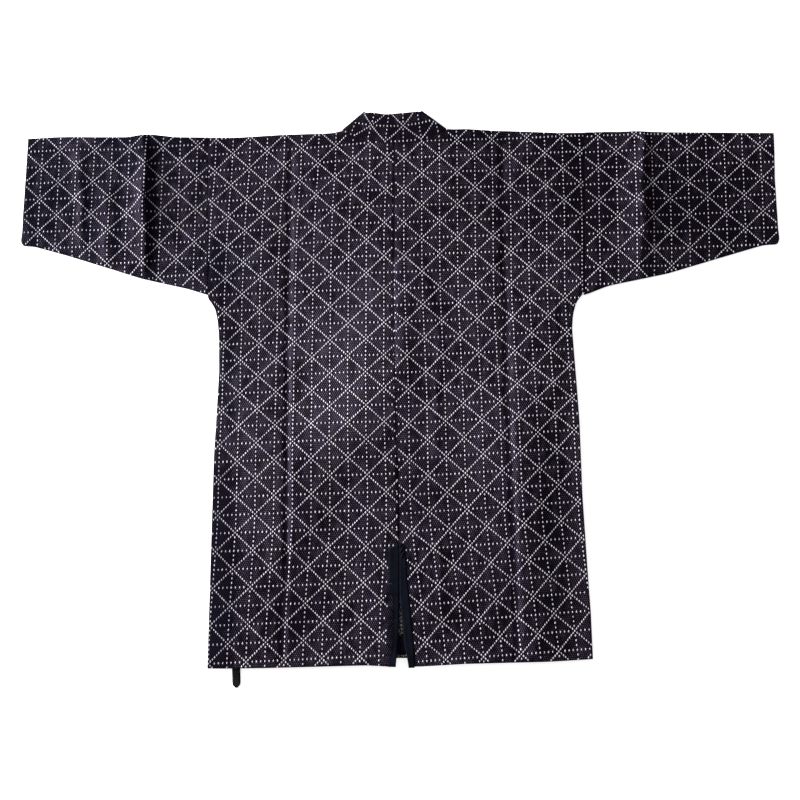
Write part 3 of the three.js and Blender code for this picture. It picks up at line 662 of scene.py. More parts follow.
def as_piece(name, bm, materials, thickness=None):
    """A finished object from a bmesh. A thickness makes it a wall, its inside in the next material."""
    mesh = bpy.data.meshes.new(name)
    bm.to_mesh(mesh)
    bm.free()
    for material in materials:
        mesh.materials.append(material)
    mesh.shade_smooth()
    piece = bpy.data.objects.new(name, mesh)
    scene.collection.objects.link(piece)
    if thickness:
        wall = piece.modifiers.new("wall", "SOLIDIFY")
        wall.thickness = thickness
        wall.offset = -1.0
        wall.material_offset = len(materials) - 1
        wall.use_rim = True
    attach(piece, "root")
    return piece


def spaced(start, end, step):
    count = max(1, round(abs(end - start) / step))
    return [mix(start, end, k / count) for k in range(count + 1)]


# Rows run from the front hem up, over the shoulder and down to the back hem.
FOLD_TURNS = [math.radians(a) for a in (-70, -42, -14, 14, 42, 70)]
BODY_ROWS = ([("front", h) for h in [0, .0012, .003, *spaced(.006, SHOULDER, PANEL_STEP)]]
             + [("fold", turn) for turn in FOLD_TURNS]
             + [("back", h) for h in [*spaced(SHOULDER, .006, PANEL_STEP), .003, .0012, 0]])
EDGE_COLUMNS = [0, .0007, .0018, .0034, .0058]
FINE_SHARES = {-1: (.365, .470), 1: (.325, .450)}


def body_columns(side, side_x, inner_x):
    """Places across a panel, closer together at the side seam, the centre and the long crease."""
    width = abs(inner_x - side_x)
    near = [d / width for d in EDGE_COLUMNS]
    first, step = FIRST_COLUMN / PANEL_WIDTH, PANEL_STEP / PANEL_WIDTH
    low, high = FINE_SHARES[side]
    middle = [*spaced(first, low, step), *spaced(low, high, step / 2)[1:-1],
              *spaced(high, 1 - first, step)]
    shares = [*near, *middle, *[1 - s for s in reversed(near)]]
    return [mix(side_x, inner_x, s) for s in shares]


FRONT_HIGHEST = 0.0075
cad_bodies = {-1: cad_tree("body_left"), 1: cad_tree("body_right")}


def body_point(side, layer, height, column, tree):
    """A drafted place, its height, and how far it is from the side seam and from the centre."""
    seam = side_seam(side, height)
    neck = layer == "back" and height > NECK_START
    if layer == "front":
        edge = lookup(FRONT_EDGE[side], height) if height > OVERLAP_TOP else CENTRE_FRONT[side]
        inner = edge + side * HALF_SEAM
    elif neck:
        inner = lookup(NECK_X[side], height)
    else:
        inner = lookup(CENTRE_BACK[side], height) - side * SEAM_LAP * ease((height - SLIT_TOP) / .01)
    x = body_columns(side, seam, inner)[column]
    y = row_y(height, x, FRONT_SHORTER if layer == "front" else 0.0)
    if neck:
        share = clamp((x - seam) / (inner - seam))
        y += (lookup(NECK_Y[side], height) - row_y(height, inner)) * share ** 2
    raised = FRONT_SHORTER if layer == "front" else 0.0
    top_y = y + FOLD_ROLL if height > .8 else SHOULDER
    at_x = inset(x, seam, inner)
    at_y = inset(y - (INSIDE if neck else 0.0), row_y(0, x, raised), top_y)
    z = level(tree, at_x, at_y, above=layer == "back")
    # Past the front's edge the ray meets the back, so it steps aside until it meets the front.
    while layer == "front" and z > FRONT_HIGHEST and abs(at_x - inner) < .03:
        at_x += side * .0008
        z = level(tree, at_x, at_y, above=False)
    # At the centre seam both panels come to the same height.
    if layer == "back" and SLIT_TOP < height <= NECK_START and abs(x - inner) < SEAM_BLEND:
        heights = [level(solid, lookup(CENTRE_BACK[s], height) + s * .0010, y)
                   for s, solid in cad_bodies.items()]
        gap = sum(heights) / 2 - heights[0 if side < 0 else 1]
        z += gap * (1 - ease(abs(x - inner) / SEAM_BLEND))
    return x, y, z, abs(x - seam), abs(x - inner)


def body_panel(side):
    tree = cad_bodies[side]
    notes = []

    def place(column, row):
        layer, value = BODY_ROWS[row]
        if layer == "fold":
            x, y, low, _, _ = body_point(side, "front", SHOULDER, column, tree)
            high = body_point(side, "back", SHOULDER, column, tree)[2]
            middle, half = (low + high) / 2, (high - low) / 2
            notes.append((layer, SHOULDER, 0, 0))
            return Vector((x, y + FOLD_ROLL * math.cos(value), middle + half * math.sin(value)))
        x, y, z, from_side, from_inner = body_point(side, layer, value, column, tree)
        notes.append((layer, value, from_side, from_inner))
        return Vector((x, y, z))

    bm = grid_mesh(len(body_columns(side, 0, PANEL_WIDTH)), len(BODY_ROWS), place)
    flat_back = [layer == "back" and height < SHOULDER - .008 for layer, height, _, _ in notes]
    settle(bm, BACK_SETTLING, flat_back)
    for v, (layer, height, from_side, from_inner) in zip(bm.verts, notes):
        hem = rounded(height, HEM_ROUND, HEM_FALL)
        sewn = rounded(from_side, EDGE_ROUND, EDGE_FALL) if height < ARMHOLE_LOW else 0.0
        if layer == "back":
            at_shoulder = ease((SHOULDER - height) / .02 + 0.35)
            at_hem = ease(height / .012 + 0.3)
            fade = ease(from_side / FADE_REACH) * at_shoulder * at_hem
            v.co.z += (crease_height(v.co.x, v.co.y) + swell_height(v.co.x, v.co.y)) * fade
            v.co.z -= sewn + hem
            v.co.z -= groove(from_side, SLEEVE_GROOVE) if height > ARMHOLE_LOW else 0.0
            v.co.z -= groove(from_inner, CENTRE_GROOVE) if height > SLIT_TOP else 0.0
        elif layer == "front":
            v.co.z += sewn + hem
        v.co += Vector((draft_x, draft_y, 0))
    face_out(bm, up_or_down)
    return bm


# White stitches
# Short thick white threads laid over the weave: diamonds whose sides cross every half repeat, and
# a cross of stitches inside each diamond. Places in a repeat are shares of its width and height.
STITCH_HALF_WIDTH = 0.00114
STITCH_HALF_LENGTH = 0.00188
STITCH_RISE = 0.00062
STITCH_SINK = 0.0001
STITCH_LEAN = -15
STITCH_STRAYS = 6
STITCH_SIZES = (0.88, 1.08)
REPEATS_ACROSS = range(-8, 9)
REPEATS_UP = range(-10, 12)
LOWEST_THREAD = 0.00005
# Each stitch's tone: random, and painted dimmer where the cloth has painted shade and brighter where it
# has painted highlight.
TONE_MIDDLE = 0.50
TONE_PER_WEAR_AND_SHADING = 0.85
TONE_STRAYS = 0.24
THREAD_DULL = (0.220, 0.205, 0.245)
THREAD_WHITE = (0.760, 0.715, 0.805)
CHARTS = {
    "body_left": {
        "x": -.1631, "y": .3240, "across": (.0547, .0022), "up": (.0005, .0524), "drift_along": "y",
        "middle": -.150,
        "drift": [(.016, -.0024, -.0022, .005, .008), (.063, -.0017, -.0014, .007, .003),
                  (.109, .0002, -.0008, .008, -.003), (.155, .0025, -.0003, .012, -.005),
                  (.202, .0047, .0001, .016, -.006), (.250, .0042, .0007, .016, -.006),
                  (.298, .0028, .0012, .012, -.008), (.346, .0018, .0017, .002, -.011),
                  (.395, .0016, .0002, -.004, -.009), (.445, .0002, -.0007, -.006, -.006),
                  (.495, .0003, -.0020, -.005, -.005), (.546, -.0008, -.0017, -.002, -.012),
                  (.649, -.0013, -.0023, -.006, .010), (.701, -.0003, -.0027, -.007, .025),
                  (.754, .0022, -.0024, -.008, .033), (.807, .0025, -.0015, -.007, .033)],
    },
    "body_right": {
        "x": .0956, "y": .3312, "across": (.0549, .0033), "up": (-.0025, .0530), "drift_along": "y",
        "middle": .140,
        "drift": [(.016, .0096, -.0007, -.005, .011), (.063, .0067, -.0002, -.007, .014),
                  (.109, .0043, -.0002, -.007, .014), (.155, .0007, -.0002, -.001, .011),
                  (.202, -.0020, -.0002, .003, .009), (.250, -.0022, .0003, .004, .007),
                  (.298, -.0008, .0007, .002, .006), (.346, .0006, .0016, .000, .008),
                  (.395, .0020, -.0007, -.004, -.005), (.445, .0022, -.0034, -.008, -.016),
                  (.495, .0027, -.0029, -.008, -.016), (.546, .0033, -.0030, -.006, -.008),
                  (.597, .0054, -.0033, .000, -.008), (.649, .0085, -.0033, .008, -.010),
                  (.701, .0116, -.0029, .012, -.014), (.754, .0141, -.0029, .009, -.013),
                  (.807, .0167, -.0027, .010, -.011)],
    },
    "sleeve_left": {
        "lean": -27, "x": -.4574, "y": .7134, "across": (.0545, .0021), "up": (-.0001, .0533),
        "drift_along": "x",
        "drift": [(-.560, .0016, .0000), (-.519, .0020, -.0002), (-.494, .0016, -.0005),
                  (-.468, .0019, -.0012), (-.442, .0027, -.0018), (-.417, .0033, -.0024),
                  (-.392, .0020, -.0016), (-.367, .0007, .0003), (-.343, .0006, .0012)],
    },
    "sleeve_right": {
        "lean": -22, "x": .4240, "y": .7116, "across": (.0571, .0018), "up": (.0009, .0540),
        "drift_along": "x",
        "drift": [(.335, .0010, -.0009), (.360, .0007, -.0017), (.385, .0005, -.0019),
                  (.410, -.0020, -.0020), (.436, -.0017, -.0018), (.462, -.0011, -.0014),
                  (.486, .0003, -.0002), (.512, -.0002, -.0004), (.537, .0007, .0008)],
    },
    "front_left": {"x": -.1480, "y": .3180, "across": (.0550, .0010), "up": (.0004, .0526)},
    "front_right": {"x": .1095, "y": .3300, "across": (.0550, -.0012), "up": (-.0006, .0527)},
    "collar_back": {"x": -.0456, "y": .8286, "across": (.0500, .0006), "up": (.0038, .0522),
                    "arch": (-.013, .8300, 2.3, 5.0)},
}


def stitch_chart():
    """Places of the stitches of one repeat, from crossing to crossing."""
    diagonal = [(k / 18, k / 18) for k in range(18)]
    other = [(k / 18, 1 - k / 18) for k in range(18) if k % 9]
    places = [(*p, 1) for p in diagonal] + [(*p, -1) for p in other]
    for start in (0.0, 0.5):
        places += [((start + (m + 0.5) / 9) % 1, start, 0) for m in range(1, 8)]
        places += [(start, (start + k / 8) % 1, 0) for k in range(1, 8) if k != 4]
    return places


def white_thread(name):
    thread = Finish(name, 0.8)
    tone = thread.node("Attribute", {"attribute_name": "tone"}, {}, output=2)
    place = thread.node("TexCoord", {}, {}, output=3)
    fibre = thread.noise(place, 2600.0)
    share = (tone * 0.85 + fibre * 0.15).atleast(0.0).atmost(1.0)
    return thread.finish(thread.blend(THREAD_DULL, THREAD_WHITE, share), fibre, 0.0002)


thread_white = white_thread("white_thread")


def stitch_shape():
    """One stitch: a low six-sided grain of thread, closed below."""
    rings = [(1.0, 0.0), (0.72, 0.72)]
    return [(r * math.cos(k * math.pi / 3), r * math.sin(k * math.pi / 3), z)
            for r, z in rings for k in range(6)]


STITCH_FACES = ([tuple(reversed(range(6))), tuple(range(6, 12))]
                + [(k, (k + 1) % 6, 6 + (k + 1) % 6, 6 + k) for k in range(6)])


def lay_stitches(name, chart, tree, above, keep):
    """Every stitch of a chart that falls on a tree's surface and where keep(x, y) is true."""
    rng = random.Random(name)
    shape = stitch_shape()
    corners, faces, tones = [], [], []
    lift = 1 if above else -1
    for across in REPEATS_ACROSS:
        for up in REPEATS_UP:
            for a, b, slant in stitch_chart():
                x, y = chart_point(chart, across + a, up + b)
                if not keep(x, y):
                    continue
                start = Vector((x + draft_x, y + draft_y, OUTSIDE_Z * lift))
                hit, normal = tree.ray_cast(start, Vector((0, 0, -lift)))[:2]
                if hit is None or abs(normal.z) < 0.5:
                    continue
                # The wrong side is seen from behind its faces.
                if above and normal.z < 0:
                    normal = -normal
                strays = rng.uniform(-STITCH_STRAYS, STITCH_STRAYS)
                turn = math.radians(slant * chart.get("lean", STITCH_LEAN) + strays)
                length = Vector((-math.sin(turn), math.cos(turn), 0))
                length = (length - normal * length.dot(normal)).normalized()
                width = length.cross(normal)
                size = rng.uniform(*STITCH_SIZES)
                first = len(corners)
                base = hit - normal * STITCH_SINK
                for px, py, pz in shape:
                    corner = base + width * px * STITCH_HALF_WIDTH * size
                    corner += length * py * STITCH_HALF_LENGTH * size
                    corner += normal * pz * (STITCH_RISE + STITCH_SINK)
                    corner.z = max(corner.z, LOWEST_THREAD)
                    corners.append(corner)
                faces += [tuple(first + i for i in face) for face in STITCH_FACES]
                tone = TONE_MIDDLE
                # On the back, stitches take the cloth's wear and its painted shade and highlight.
                if above:
                    tone += TONE_PER_WEAR_AND_SHADING * wear_and_shading_at(x, y)
                    tone += rng.uniform(-TONE_STRAYS, TONE_STRAYS)
                tones += [tone] * len(shape)
    mesh = bpy.data.meshes.new(name)
    mesh.from_pydata(corners, [], faces)
    mesh.attributes.new("tone", "FLOAT", "POINT").data.foreach_set("value", tones)
    bm = bmesh.new()
    bm.from_mesh(mesh)
    bmesh.ops.recalc_face_normals(bm, faces=bm.faces)
    bm.to_mesh(mesh)
    bm.free()
    mesh.materials.append(thread_white)
    mesh.shade_smooth()
    piece = bpy.data.objects.new(name, mesh)
    scene.collection.objects.link(piece)
    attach(piece, "root")
    return piece


# How near a stitch comes to an edge, to the centre seam and to the neck's seam, and how far it runs
# on over the shoulder's fold, on the back and on the front.
MARGIN = 0.0012
SEAM_MARGIN = 0.0008
NECK_MARGIN = 0.0034
OVER_BACK = 0.0018
OVER_FRONT = 0.0010
BINDING_TOP = 0.170
ABOVE_SHOULDER = 0.83


def inside_body(side):
    def keep(x, y):
        if not -.01 < y < ABOVE_SHOULDER:
            return False
        if NECK_EDGE[0][0] < x < NECK_EDGE[-1][0] and y > lookup(NECK_EDGE, x) - NECK_MARGIN:
            return False
        seam = side_seam(side, y)
        if y < BINDING_TOP:
            inner = softly(BINDING_EDGE[side], y) + side * MARGIN
        else:
            # The stitches keep clear of the tack at the top of the slit.
            inner = lookup(CENTRE_BACK[side], min(y, NECK_START))
            inner += side * .009 * clamp((.1775 - y) / .0075)
            inner += side * SEAM_MARGIN
        low, high = (seam + MARGIN, inner) if side < 0 else (inner, seam - MARGIN)
        return low < x < high and row_y(0, x) + MARGIN < y < row_y(SHOULDER, x) + OVER_BACK
    return keep


def inside_front(side):
    def keep(x, y):
        if not 0 < y < ABOVE_SHOULDER:
            return False
        low, high = sorted((side_seam(side, y), lookup(FRONT_EDGE[side], y)))
        bottom, top = row_y(0, x, FRONT_SHORTER) + MARGIN, row_y(SHOULDER, x) + OVER_FRONT
        return low + MARGIN < x < high - MARGIN and bottom < y < top
    return keep


# One row shows on the wrong side of the right front, inside the slit.
WRONG_SIDE_ROW = {"x": .0020, "y": .0459, "across": (1.0, 0), "up": (-.0020, .0440), "lean": 0}


def inside_tree(bm):
    """The wrong side of a panel's front layer."""
    corners = [v.co + Vector((0, 0, CLOTH)) for v in bm.verts]
    return BVHTree.FromPolygons(corners, [[v.index for v in f.verts] for f in bm.faces if f.normal.z < 0])


body_trees = {}
for side, name in ((-1, "body_left"), (1, "body_right")):
    bm = body_panel(side)
    body_trees[side] = BVHTree.FromBMesh(bm)
    wrong_side = inside_tree(bm)
    back_chart = CHARTS[name]
    front_chart = CHARTS["front_left" if side < 0 else "front_right"]
    set_repeat(bm, lambda up: back_chart if up else front_chart)
    panel = as_piece(name + "_cloth", bm, [cloth_ground, cloth_reverse], CLOTH)
    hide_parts(name)
    on_back = lay_stitches("stitches_back" + name[4:], back_chart, body_trees[side], True,
                           inside_body(side))
    on_front = lay_stitches("stitches_front" + name[4:], front_chart, body_trees[side], False,
                            inside_front(side))
    stitched = [on_back, on_front]
    if side > 0:
        stitched.append(lay_stitches("stitches_wrong_side", WRONG_SIDE_ROW, wrong_side, True,
                                     lambda x, y: abs(x) < .006 and .044 < y < .076))

# Sleeves
# One piece of the same cloth for each, folded along the top and sewn to the body at the armhole
# and to itself along the underarm. The cuff is turned in and stitched.
CUFF = {-1: LEFT_CUFF, 1: .589}
CUFF_FLARE = {
    -1: [(0, 0), (.04, -.0010), (.10, 0), (1, 0)],
    1: [(0, 0), (.04, .0010), (.12, 0), (.6, 0), (1, .0026)],
}
CUFF_CORNER = (0.0060, 0.0045)
ARMPIT = .555
UNDERARM = {
    -1: [(-.590, .634), (-.573, .634), (-.516, .618), (-.440, .594), (-.403, .582), (-.328, .565),
         (-.297, .555)],
    1: [(.284, .555), (.321, .570), (.415, .590), (.490, .613), (.566, .636), (.590, .637)],
}
SLEEVE_SETTLING = 6
SLEEVE_RUN = [0, .0012, .0028, .0052, *spaced(.010, .279, .0026), .282, .2835, .2848]
SLEEVE_UP = [0, .004, .010, .018, *[mix(.035, 1, k / 48) for k in range(49)]]
SLEEVE_TURN = ([("front", up) for up in SLEEVE_UP] + [("fold", turn) for turn in FOLD_TURNS]
               + [("back", up) for up in reversed(SLEEVE_UP)])


def sleeve_point(side, run, up, tree, above):
    """A drafted place, its height, and how far it is from the underarm, the body and the cuff."""
    share = run / SLEEVE_RUN[-1]
    seam = side_seam(side, mix(ARMPIT, SHOULDER, up)) + side * HALF_SEAM
    x = mix(seam, CUFF[side] + lookup(CUFF_FLARE[side], up), share)
    low = softly(UNDERARM[side], x) + rounded(abs(x - CUFF[side]), *CUFF_CORNER)
    y = mix(low, softly(TOP, x) - FOLD_ROLL, up)
    z = level(tree, inset(x, seam, CUFF[side]), inset(y, low, softly(TOP, x)), above)
    return x, y, z, y - low, abs(x - seam), abs(x - CUFF[side])


def sleeve(name, side):
    tree = cad_tree(name)
    notes = []

    def place(column, row):
        run = SLEEVE_RUN[column]
        layer, value = SLEEVE_TURN[row]
        if layer == "fold":
            x, y, low = sleeve_point(side, run, 1, tree, False)[:3]
            high = sleeve_point(side, run, 1, tree, True)[2]
            middle, half = (low + high) / 2, (high - low) / 2
            notes.append((layer, 1, 0, 0, 0))
            return Vector((x, y + FOLD_ROLL * math.cos(value), middle + half * math.sin(value)))
        x, y, z, *distances = sleeve_point(side, run, value, tree, layer == "back")
        notes.append((layer, value, *distances))
        return Vector((x, y, z))

    bm = grid_mesh(len(SLEEVE_RUN), len(SLEEVE_TURN), place)
    settle(bm, SLEEVE_SETTLING, [layer == "back" and up < .98 for layer, up, _, _, _ in notes])
    sewn_on = {up: v.co.copy() for v, (layer, up, _, from_body, _) in zip(bm.verts, notes)
               if layer == "back" and from_body < .00001}
    for v, (layer, up, from_seam, from_body, from_cuff) in zip(bm.verts, notes):
        edges = rounded(from_seam, EDGE_ROUND, EDGE_FALL) + rounded(from_cuff, HEM_ROUND, HEM_FALL)
        if layer == "back" and from_body < FADE_REACH:
            seam_x, seam_y, seam_z = sewn_on[up]
            body_z = level(body_trees[side], seam_x - side * .0004, seam_y)
            v.co.z += (body_z - seam_z) * (1 - ease(from_body / FADE_REACH))
        if layer == "back":
            fade = ease(from_seam / FADE_REACH) * (0.45 + 0.55 * ease((1 - up) / .08))
            v.co.z += (crease_height(v.co.x, v.co.y) + swell_height(v.co.x, v.co.y)) * fade
            v.co.z -= groove(from_body, SLEEVE_GROOVE) + edges
        elif layer == "front":
            v.co.z += edges
        v.co += Vector((draft_x, draft_y, 0))
    face_out(bm, up_or_down)
    return bm


def inside_sleeve(side):
    def keep(x, y):
        if not ARMPIT - .01 < y < ABOVE_SHOULDER:
            return False
        low, high = sorted((side_seam(side, max(ARMPIT, y)), CUFF[side]))
        bottom, top = softly(UNDERARM[side], x) + MARGIN, row_y(SHOULDER, x) + OVER_BACK
        return low + MARGIN < x < high - MARGIN and bottom < y < top
    return keep


for side, name in ((-1, "sleeve_left"), (1, "sleeve_right")):
    bm = sleeve(name, side)
    sleeve_tree = BVHTree.FromBMesh(bm)
    chart = CHARTS[name]
    set_repeat(bm, lambda up: chart)
    arm = as_piece(name + "_cloth", bm, [cloth_ground, cloth_reverse], CLOTH)
    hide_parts(name)
    on_top = lay_stitches("stitches_" + name, chart, sleeve_tree, True, inside_sleeve(side))
    below = lay_stitches("stitches_under_" + name, chart, sleeve_tree, False, inside_sleeve(side))

# Front overlap panels
# A tapering panel on each front, from the centre front to the collar. They lie under the back,
# the right one over the left.
def overlap_panel(name, side):
    tree = cad_tree(name)
    heights = spaced(0, OVERLAP_TOP - .008, .008)
    shares = spaced(0, 1, 1 / 18)

    def place(column, row):
        seam = CENTRE_FRONT[side] - side * HALF_SEAM
        edge = lookup(FRONT_EDGE[side], heights[row])
        x = mix(seam, edge, shares[column])
        y = row_y(heights[row], x, FRONT_SHORTER)
        at_y = inset(y, row_y(0, x, FRONT_SHORTER), OVERLAP_TOP)
        z = level(tree, inset(x, seam, edge), at_y, above=False)
        return Vector((x + draft_x, y + draft_y, z))

    bm = grid_mesh(len(shares), len(heights), place)
    face_out(bm, lambda centre: Vector((0, 0, -1)))
    return bm


def inside_overlap(side):
    def keep(x, y):
        low, high = sorted((CENTRE_FRONT[side], lookup(FRONT_EDGE[side], y)))
        bottom, top = row_y(0, x, FRONT_SHORTER) + MARGIN, OVERLAP_TOP - .01
        return low + MARGIN < x < high - MARGIN and bottom < y < top
    return keep


for side, name in ((-1, "overlap_left"), (1, "overlap_right")):
    bm = overlap_panel(name, side)
    tree = BVHTree.FromBMesh(bm)
    chart = CHARTS["front_left" if side < 0 else "front_right"]
    set_repeat(bm, lambda up: chart)
    overlap = as_piece(name + "_cloth", bm, [cloth_ground, cloth_reverse], CLOTH)
    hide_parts(name)
    stitched = [lay_stitches("stitches_" + name, chart, tree, False, inside_overlap(side))]

# Collar band
# A doubled strip of the cloth, sewn along the neckline and down both fronts. At the sides of the
# neck it turns under along a slanted fold, so that across the back it stands above the shoulders.
BAND_HALF = 0.0017
BAND_WIDTH = 0.045
BAND_STITCHED = 0.0465
BAND_END = 0.230
BAND_OFF = 0.0018
BAND_ROLL = 0.0026
BACK_STEPS = 5
COLLAR_BACK = [
    {"seam": (-.0900, .8228), "free": (-.0553, .8534)},
    {"seam": (-.0780, .8149), "free": (-.0470, .8534)},
    {"seam": (-.0580, .8099), "free": (-.0370, .8516)},
    {"seam": (-.0340, .8041), "free": (-.0240, .8494)},
    {"seam": (-.0100, .8028), "free": (-.0080, .8506)},
    {"seam": (.0160, .8036), "free": (.0080, .8522)},
    {"seam": (.0400, .8081), "free": (.0200, .8534)},
    {"seam": (.0592, .8157), "free": (.0270, .8540)},
    {"seam": (.0704, .8230), "free": (.0312, .8538)},
]
collar_tree = cad_tree("collar")


def front_seam(side, height):
    x = lookup(FRONT_EDGE[side], height)
    return Vector((x - side * 2.4 * HALF_SEAM, row_y(height, x, FRONT_SHORTER)))


def front_stations(side, fold):
    """Seam and free edge of the band down one front, from its end up to the fold."""
    stations = []
    for height in [*spaced(BAND_END, .790, .010), .796, .803]:
        here = front_seam(side, height)
        run = (front_seam(side, height + .001) - here).normalized()
        out = Vector((run.y, -run.x)) * -side * BAND_WIDTH
        turned = Vector(fold["free"]) - Vector(fold["seam"])
        across = out.lerp(turned, ease((height - .720) / .095))
        stations.append((here, here + across))
    stations.append((Vector(fold["seam"]), Vector(fold["free"])))
    return stations


def band_edge(seam, free, share, above):
    """Middle of the band's thickness at its seam (share 0) or at its free edge (1)."""
    flat = seam.lerp(free, share)
    within = seam.lerp(free, 0.12 + 0.76 * share)
    z = level(collar_tree, within.x, within.y, above)
    if above and share == 0:
        # Across the back the seam's edge lies on the back panels.
        flat -= (free - seam).normalized() * .0012
        side = -1 if flat.x < NECK_CENTRE else 1
        z = level(body_trees[side], flat.x, flat.y - .0020) + .0003
    return Vector((flat.x, flat.y, z - BAND_OFF if above else z + BAND_OFF))


def flat_section(seam, free, above):
    """Both edges of the band where it lies flat, and the way its outer face looks."""
    out = Vector((0, 0, 1 if above else -1))
    return band_edge(seam, free, 0, above), band_edge(seam, free, 1, above), out


def collar_sections():
    """Both edges and the outward side of the band at every station from end to end."""
    sections = []
    for side, fold in ((-1, COLLAR_BACK[0]), (1, COLLAR_BACK[-1])):
        part = [flat_section(a, b, False) for a, b in front_stations(side, fold)]
        seam, free = Vector(fold["seam"]), Vector(fold["free"])
        low = flat_section(seam, free, False)[:2]
        high = flat_section(seam, free, True)[:2]
        line = (free - seam).normalized()
        out = Vector((line.y, -line.x, 0)) * side
        for turn in FOLD_TURNS:
            edges = []
            for a, b in zip(low, high):
                middle, half = (a + b) / 2, (b.z - a.z) / 2
                raised = Vector((0, 0, half * math.sin(turn)))
                edges.append(middle + out * BAND_ROLL * math.cos(turn) + raised)
            part.append((*edges, out * math.cos(turn) + Vector((0, 0, math.sin(turn)))))
        sections.append(part)
    across = []
    for a, b in zip(COLLAR_BACK, COLLAR_BACK[1:]):
        for k in range(BACK_STEPS):
            seam = Vector(a["seam"]).lerp(Vector(b["seam"]), k / BACK_STEPS)
            free = Vector(a["free"]).lerp(Vector(b["free"]), k / BACK_STEPS)
            across.append(flat_section(seam, free, True))
    across.append(flat_section(Vector(COLLAR_BACK[-1]["seam"]), Vector(COLLAR_BACK[-1]["free"]), True))
    return sections[0] + across + sections[1][::-1]


def band_outline():
    """The band's section, round its two edges, in shares of its width and half thickness."""
    flats = [(k / 9, 1.0) for k in range(2, 8)]
    outer = [(.012, .80), (.035, 1.0), *flats, (.965, 1.0), (.988, .80), (1.0, .30)]
    return outer + [(1.0 - share, -rise) for share, rise in outer]


def collar():
    sections = collar_sections()
    outline = band_outline()

    def place(column, row):
        seam, free, out = sections[row]
        share, rise = outline[column % len(outline)]
        point = seam.lerp(free, share) + out * BAND_HALF * rise
        return point + Vector((draft_x, draft_y, 0))

    bm = grid_mesh(len(outline) + 1, len(sections), place)
    bmesh.ops.remove_doubles(bm, verts=bm.verts, dist=0.00001)
    ends = [e for e in bm.edges if e.is_boundary]
    bmesh.ops.holes_fill(bm, edges=ends, sides=0)
    bmesh.ops.recalc_face_normals(bm, faces=bm.faces)
    return bm


def inside_collar_back(x, y):
    if not -.088 < x < .070:
        return False
    low = lookup([(r["seam"][0], r["seam"][1]) for r in COLLAR_BACK], x) - .0011
    left = (Vector(COLLAR_BACK[0]["seam"]), Vector(COLLAR_BACK[0]["free"]))
    right = (Vector(COLLAR_BACK[-1]["seam"]), Vector(COLLAR_BACK[-1]["free"]))
    return low < y < .8535 and all(
        (b - a).cross(Vector((x, y)) - a) * way < -.0001 * (b - a).length
        for (a, b), way in ((left, 1), (right, -1)))


def inside_collar_front(side):
    def keep(x, y):
        edge = lookup(FRONT_EDGE[side], y)
        off = (x - edge) * -side
        return BAND_END + .016 < y < .835 and MARGIN < off < BAND_STITCHED
    return keep


bm = collar()
tree = BVHTree.FromBMesh(bm)
set_repeat(bm, lambda up: CHARTS["collar_back"])
band = as_piece("collar_cloth", bm, [cloth_ground])
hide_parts("collar")
collar_parts = [lay_stitches("stitches_collar_back", CHARTS["collar_back"], tree, True,
                             inside_collar_back)]
for side, word in ((-1, "left"), (1, "right")):
    collar_parts.append(lay_stitches("stitches_collar_" + word, CHARTS["front_" + word], tree, False,
                                     inside_collar_front(side)))

# Slit bindings
# Navy cotton tape, folded lengthwise round each edge of the slit in the centre back and sewn down.
BINDING_THICK = 0.0008
TAPE_END = 0.0075
TAPE_HANGS = {-1: 0.0002, 1: 0.0014}
TWILL_WAVES = 5200
TAPE_DARK = (0.0022, 0.0026, 0.0052)
TAPE_LIGHT = (0.0105, 0.0120, 0.0200)
SLIT_EDGE = {
    -1: [(0, -.0070), (.020, -.0050), (.043, -.0030), (.063, -.0022), (.080, -.0020),
         (.0975, -.0019), (.120, -.0018), (.150, -.0015), (.168, -.0022)],
    1: [(0, .0120), (.012, .0094), (.029, .0062), (.046, .0041), (.063, .0030), (.080, .0006),
        (.0975, -.0012), (.120, -.0015), (.150, -.0013), (.168, -.0020)],
}


def cotton_tape(name, dark, light):
    tape = Finish(name, 0.75)
    place = tape.node("TexCoord", {}, {}, output=3)
    x = tape.node("SeparateXYZ", {}, {0: place}, output=0)
    y = tape.node("SeparateXYZ", {}, {0: place}, output=1)
    twill = (x * TWILL_WAVES + y * TWILL_WAVES).cosine() * 0.5 + 0.5
    marking = tape.noise(place, 60.0, 3.0)
    share = (twill * 0.25 + (marking - 0.3) * 0.9).atleast(0.0).atmost(1.0)
    colour = tape.blend(dark, light, share)
    return tape.finish(colour, twill * 0.5 + marking, 0.0003)


tape_navy = cotton_tape("navy_cotton_tape", TAPE_DARK, TAPE_LIGHT)
# The folded tape's section: its share of the way from the slit's edge to the tape's own edge, and
# its height above (1) or below (-1) the middle of the cloth.
WRAP = [(1.0, .80), (.97, 1.05), (.85, 1.15), (.65, 1.05), (.4, 1.0), (.2, 1.1), (.08, 1.15),
        (.02, .8), (0.0, 0), (.02, -.8), (.08, -1), (.4, -1), (.75, -1), (1.0, -1)]


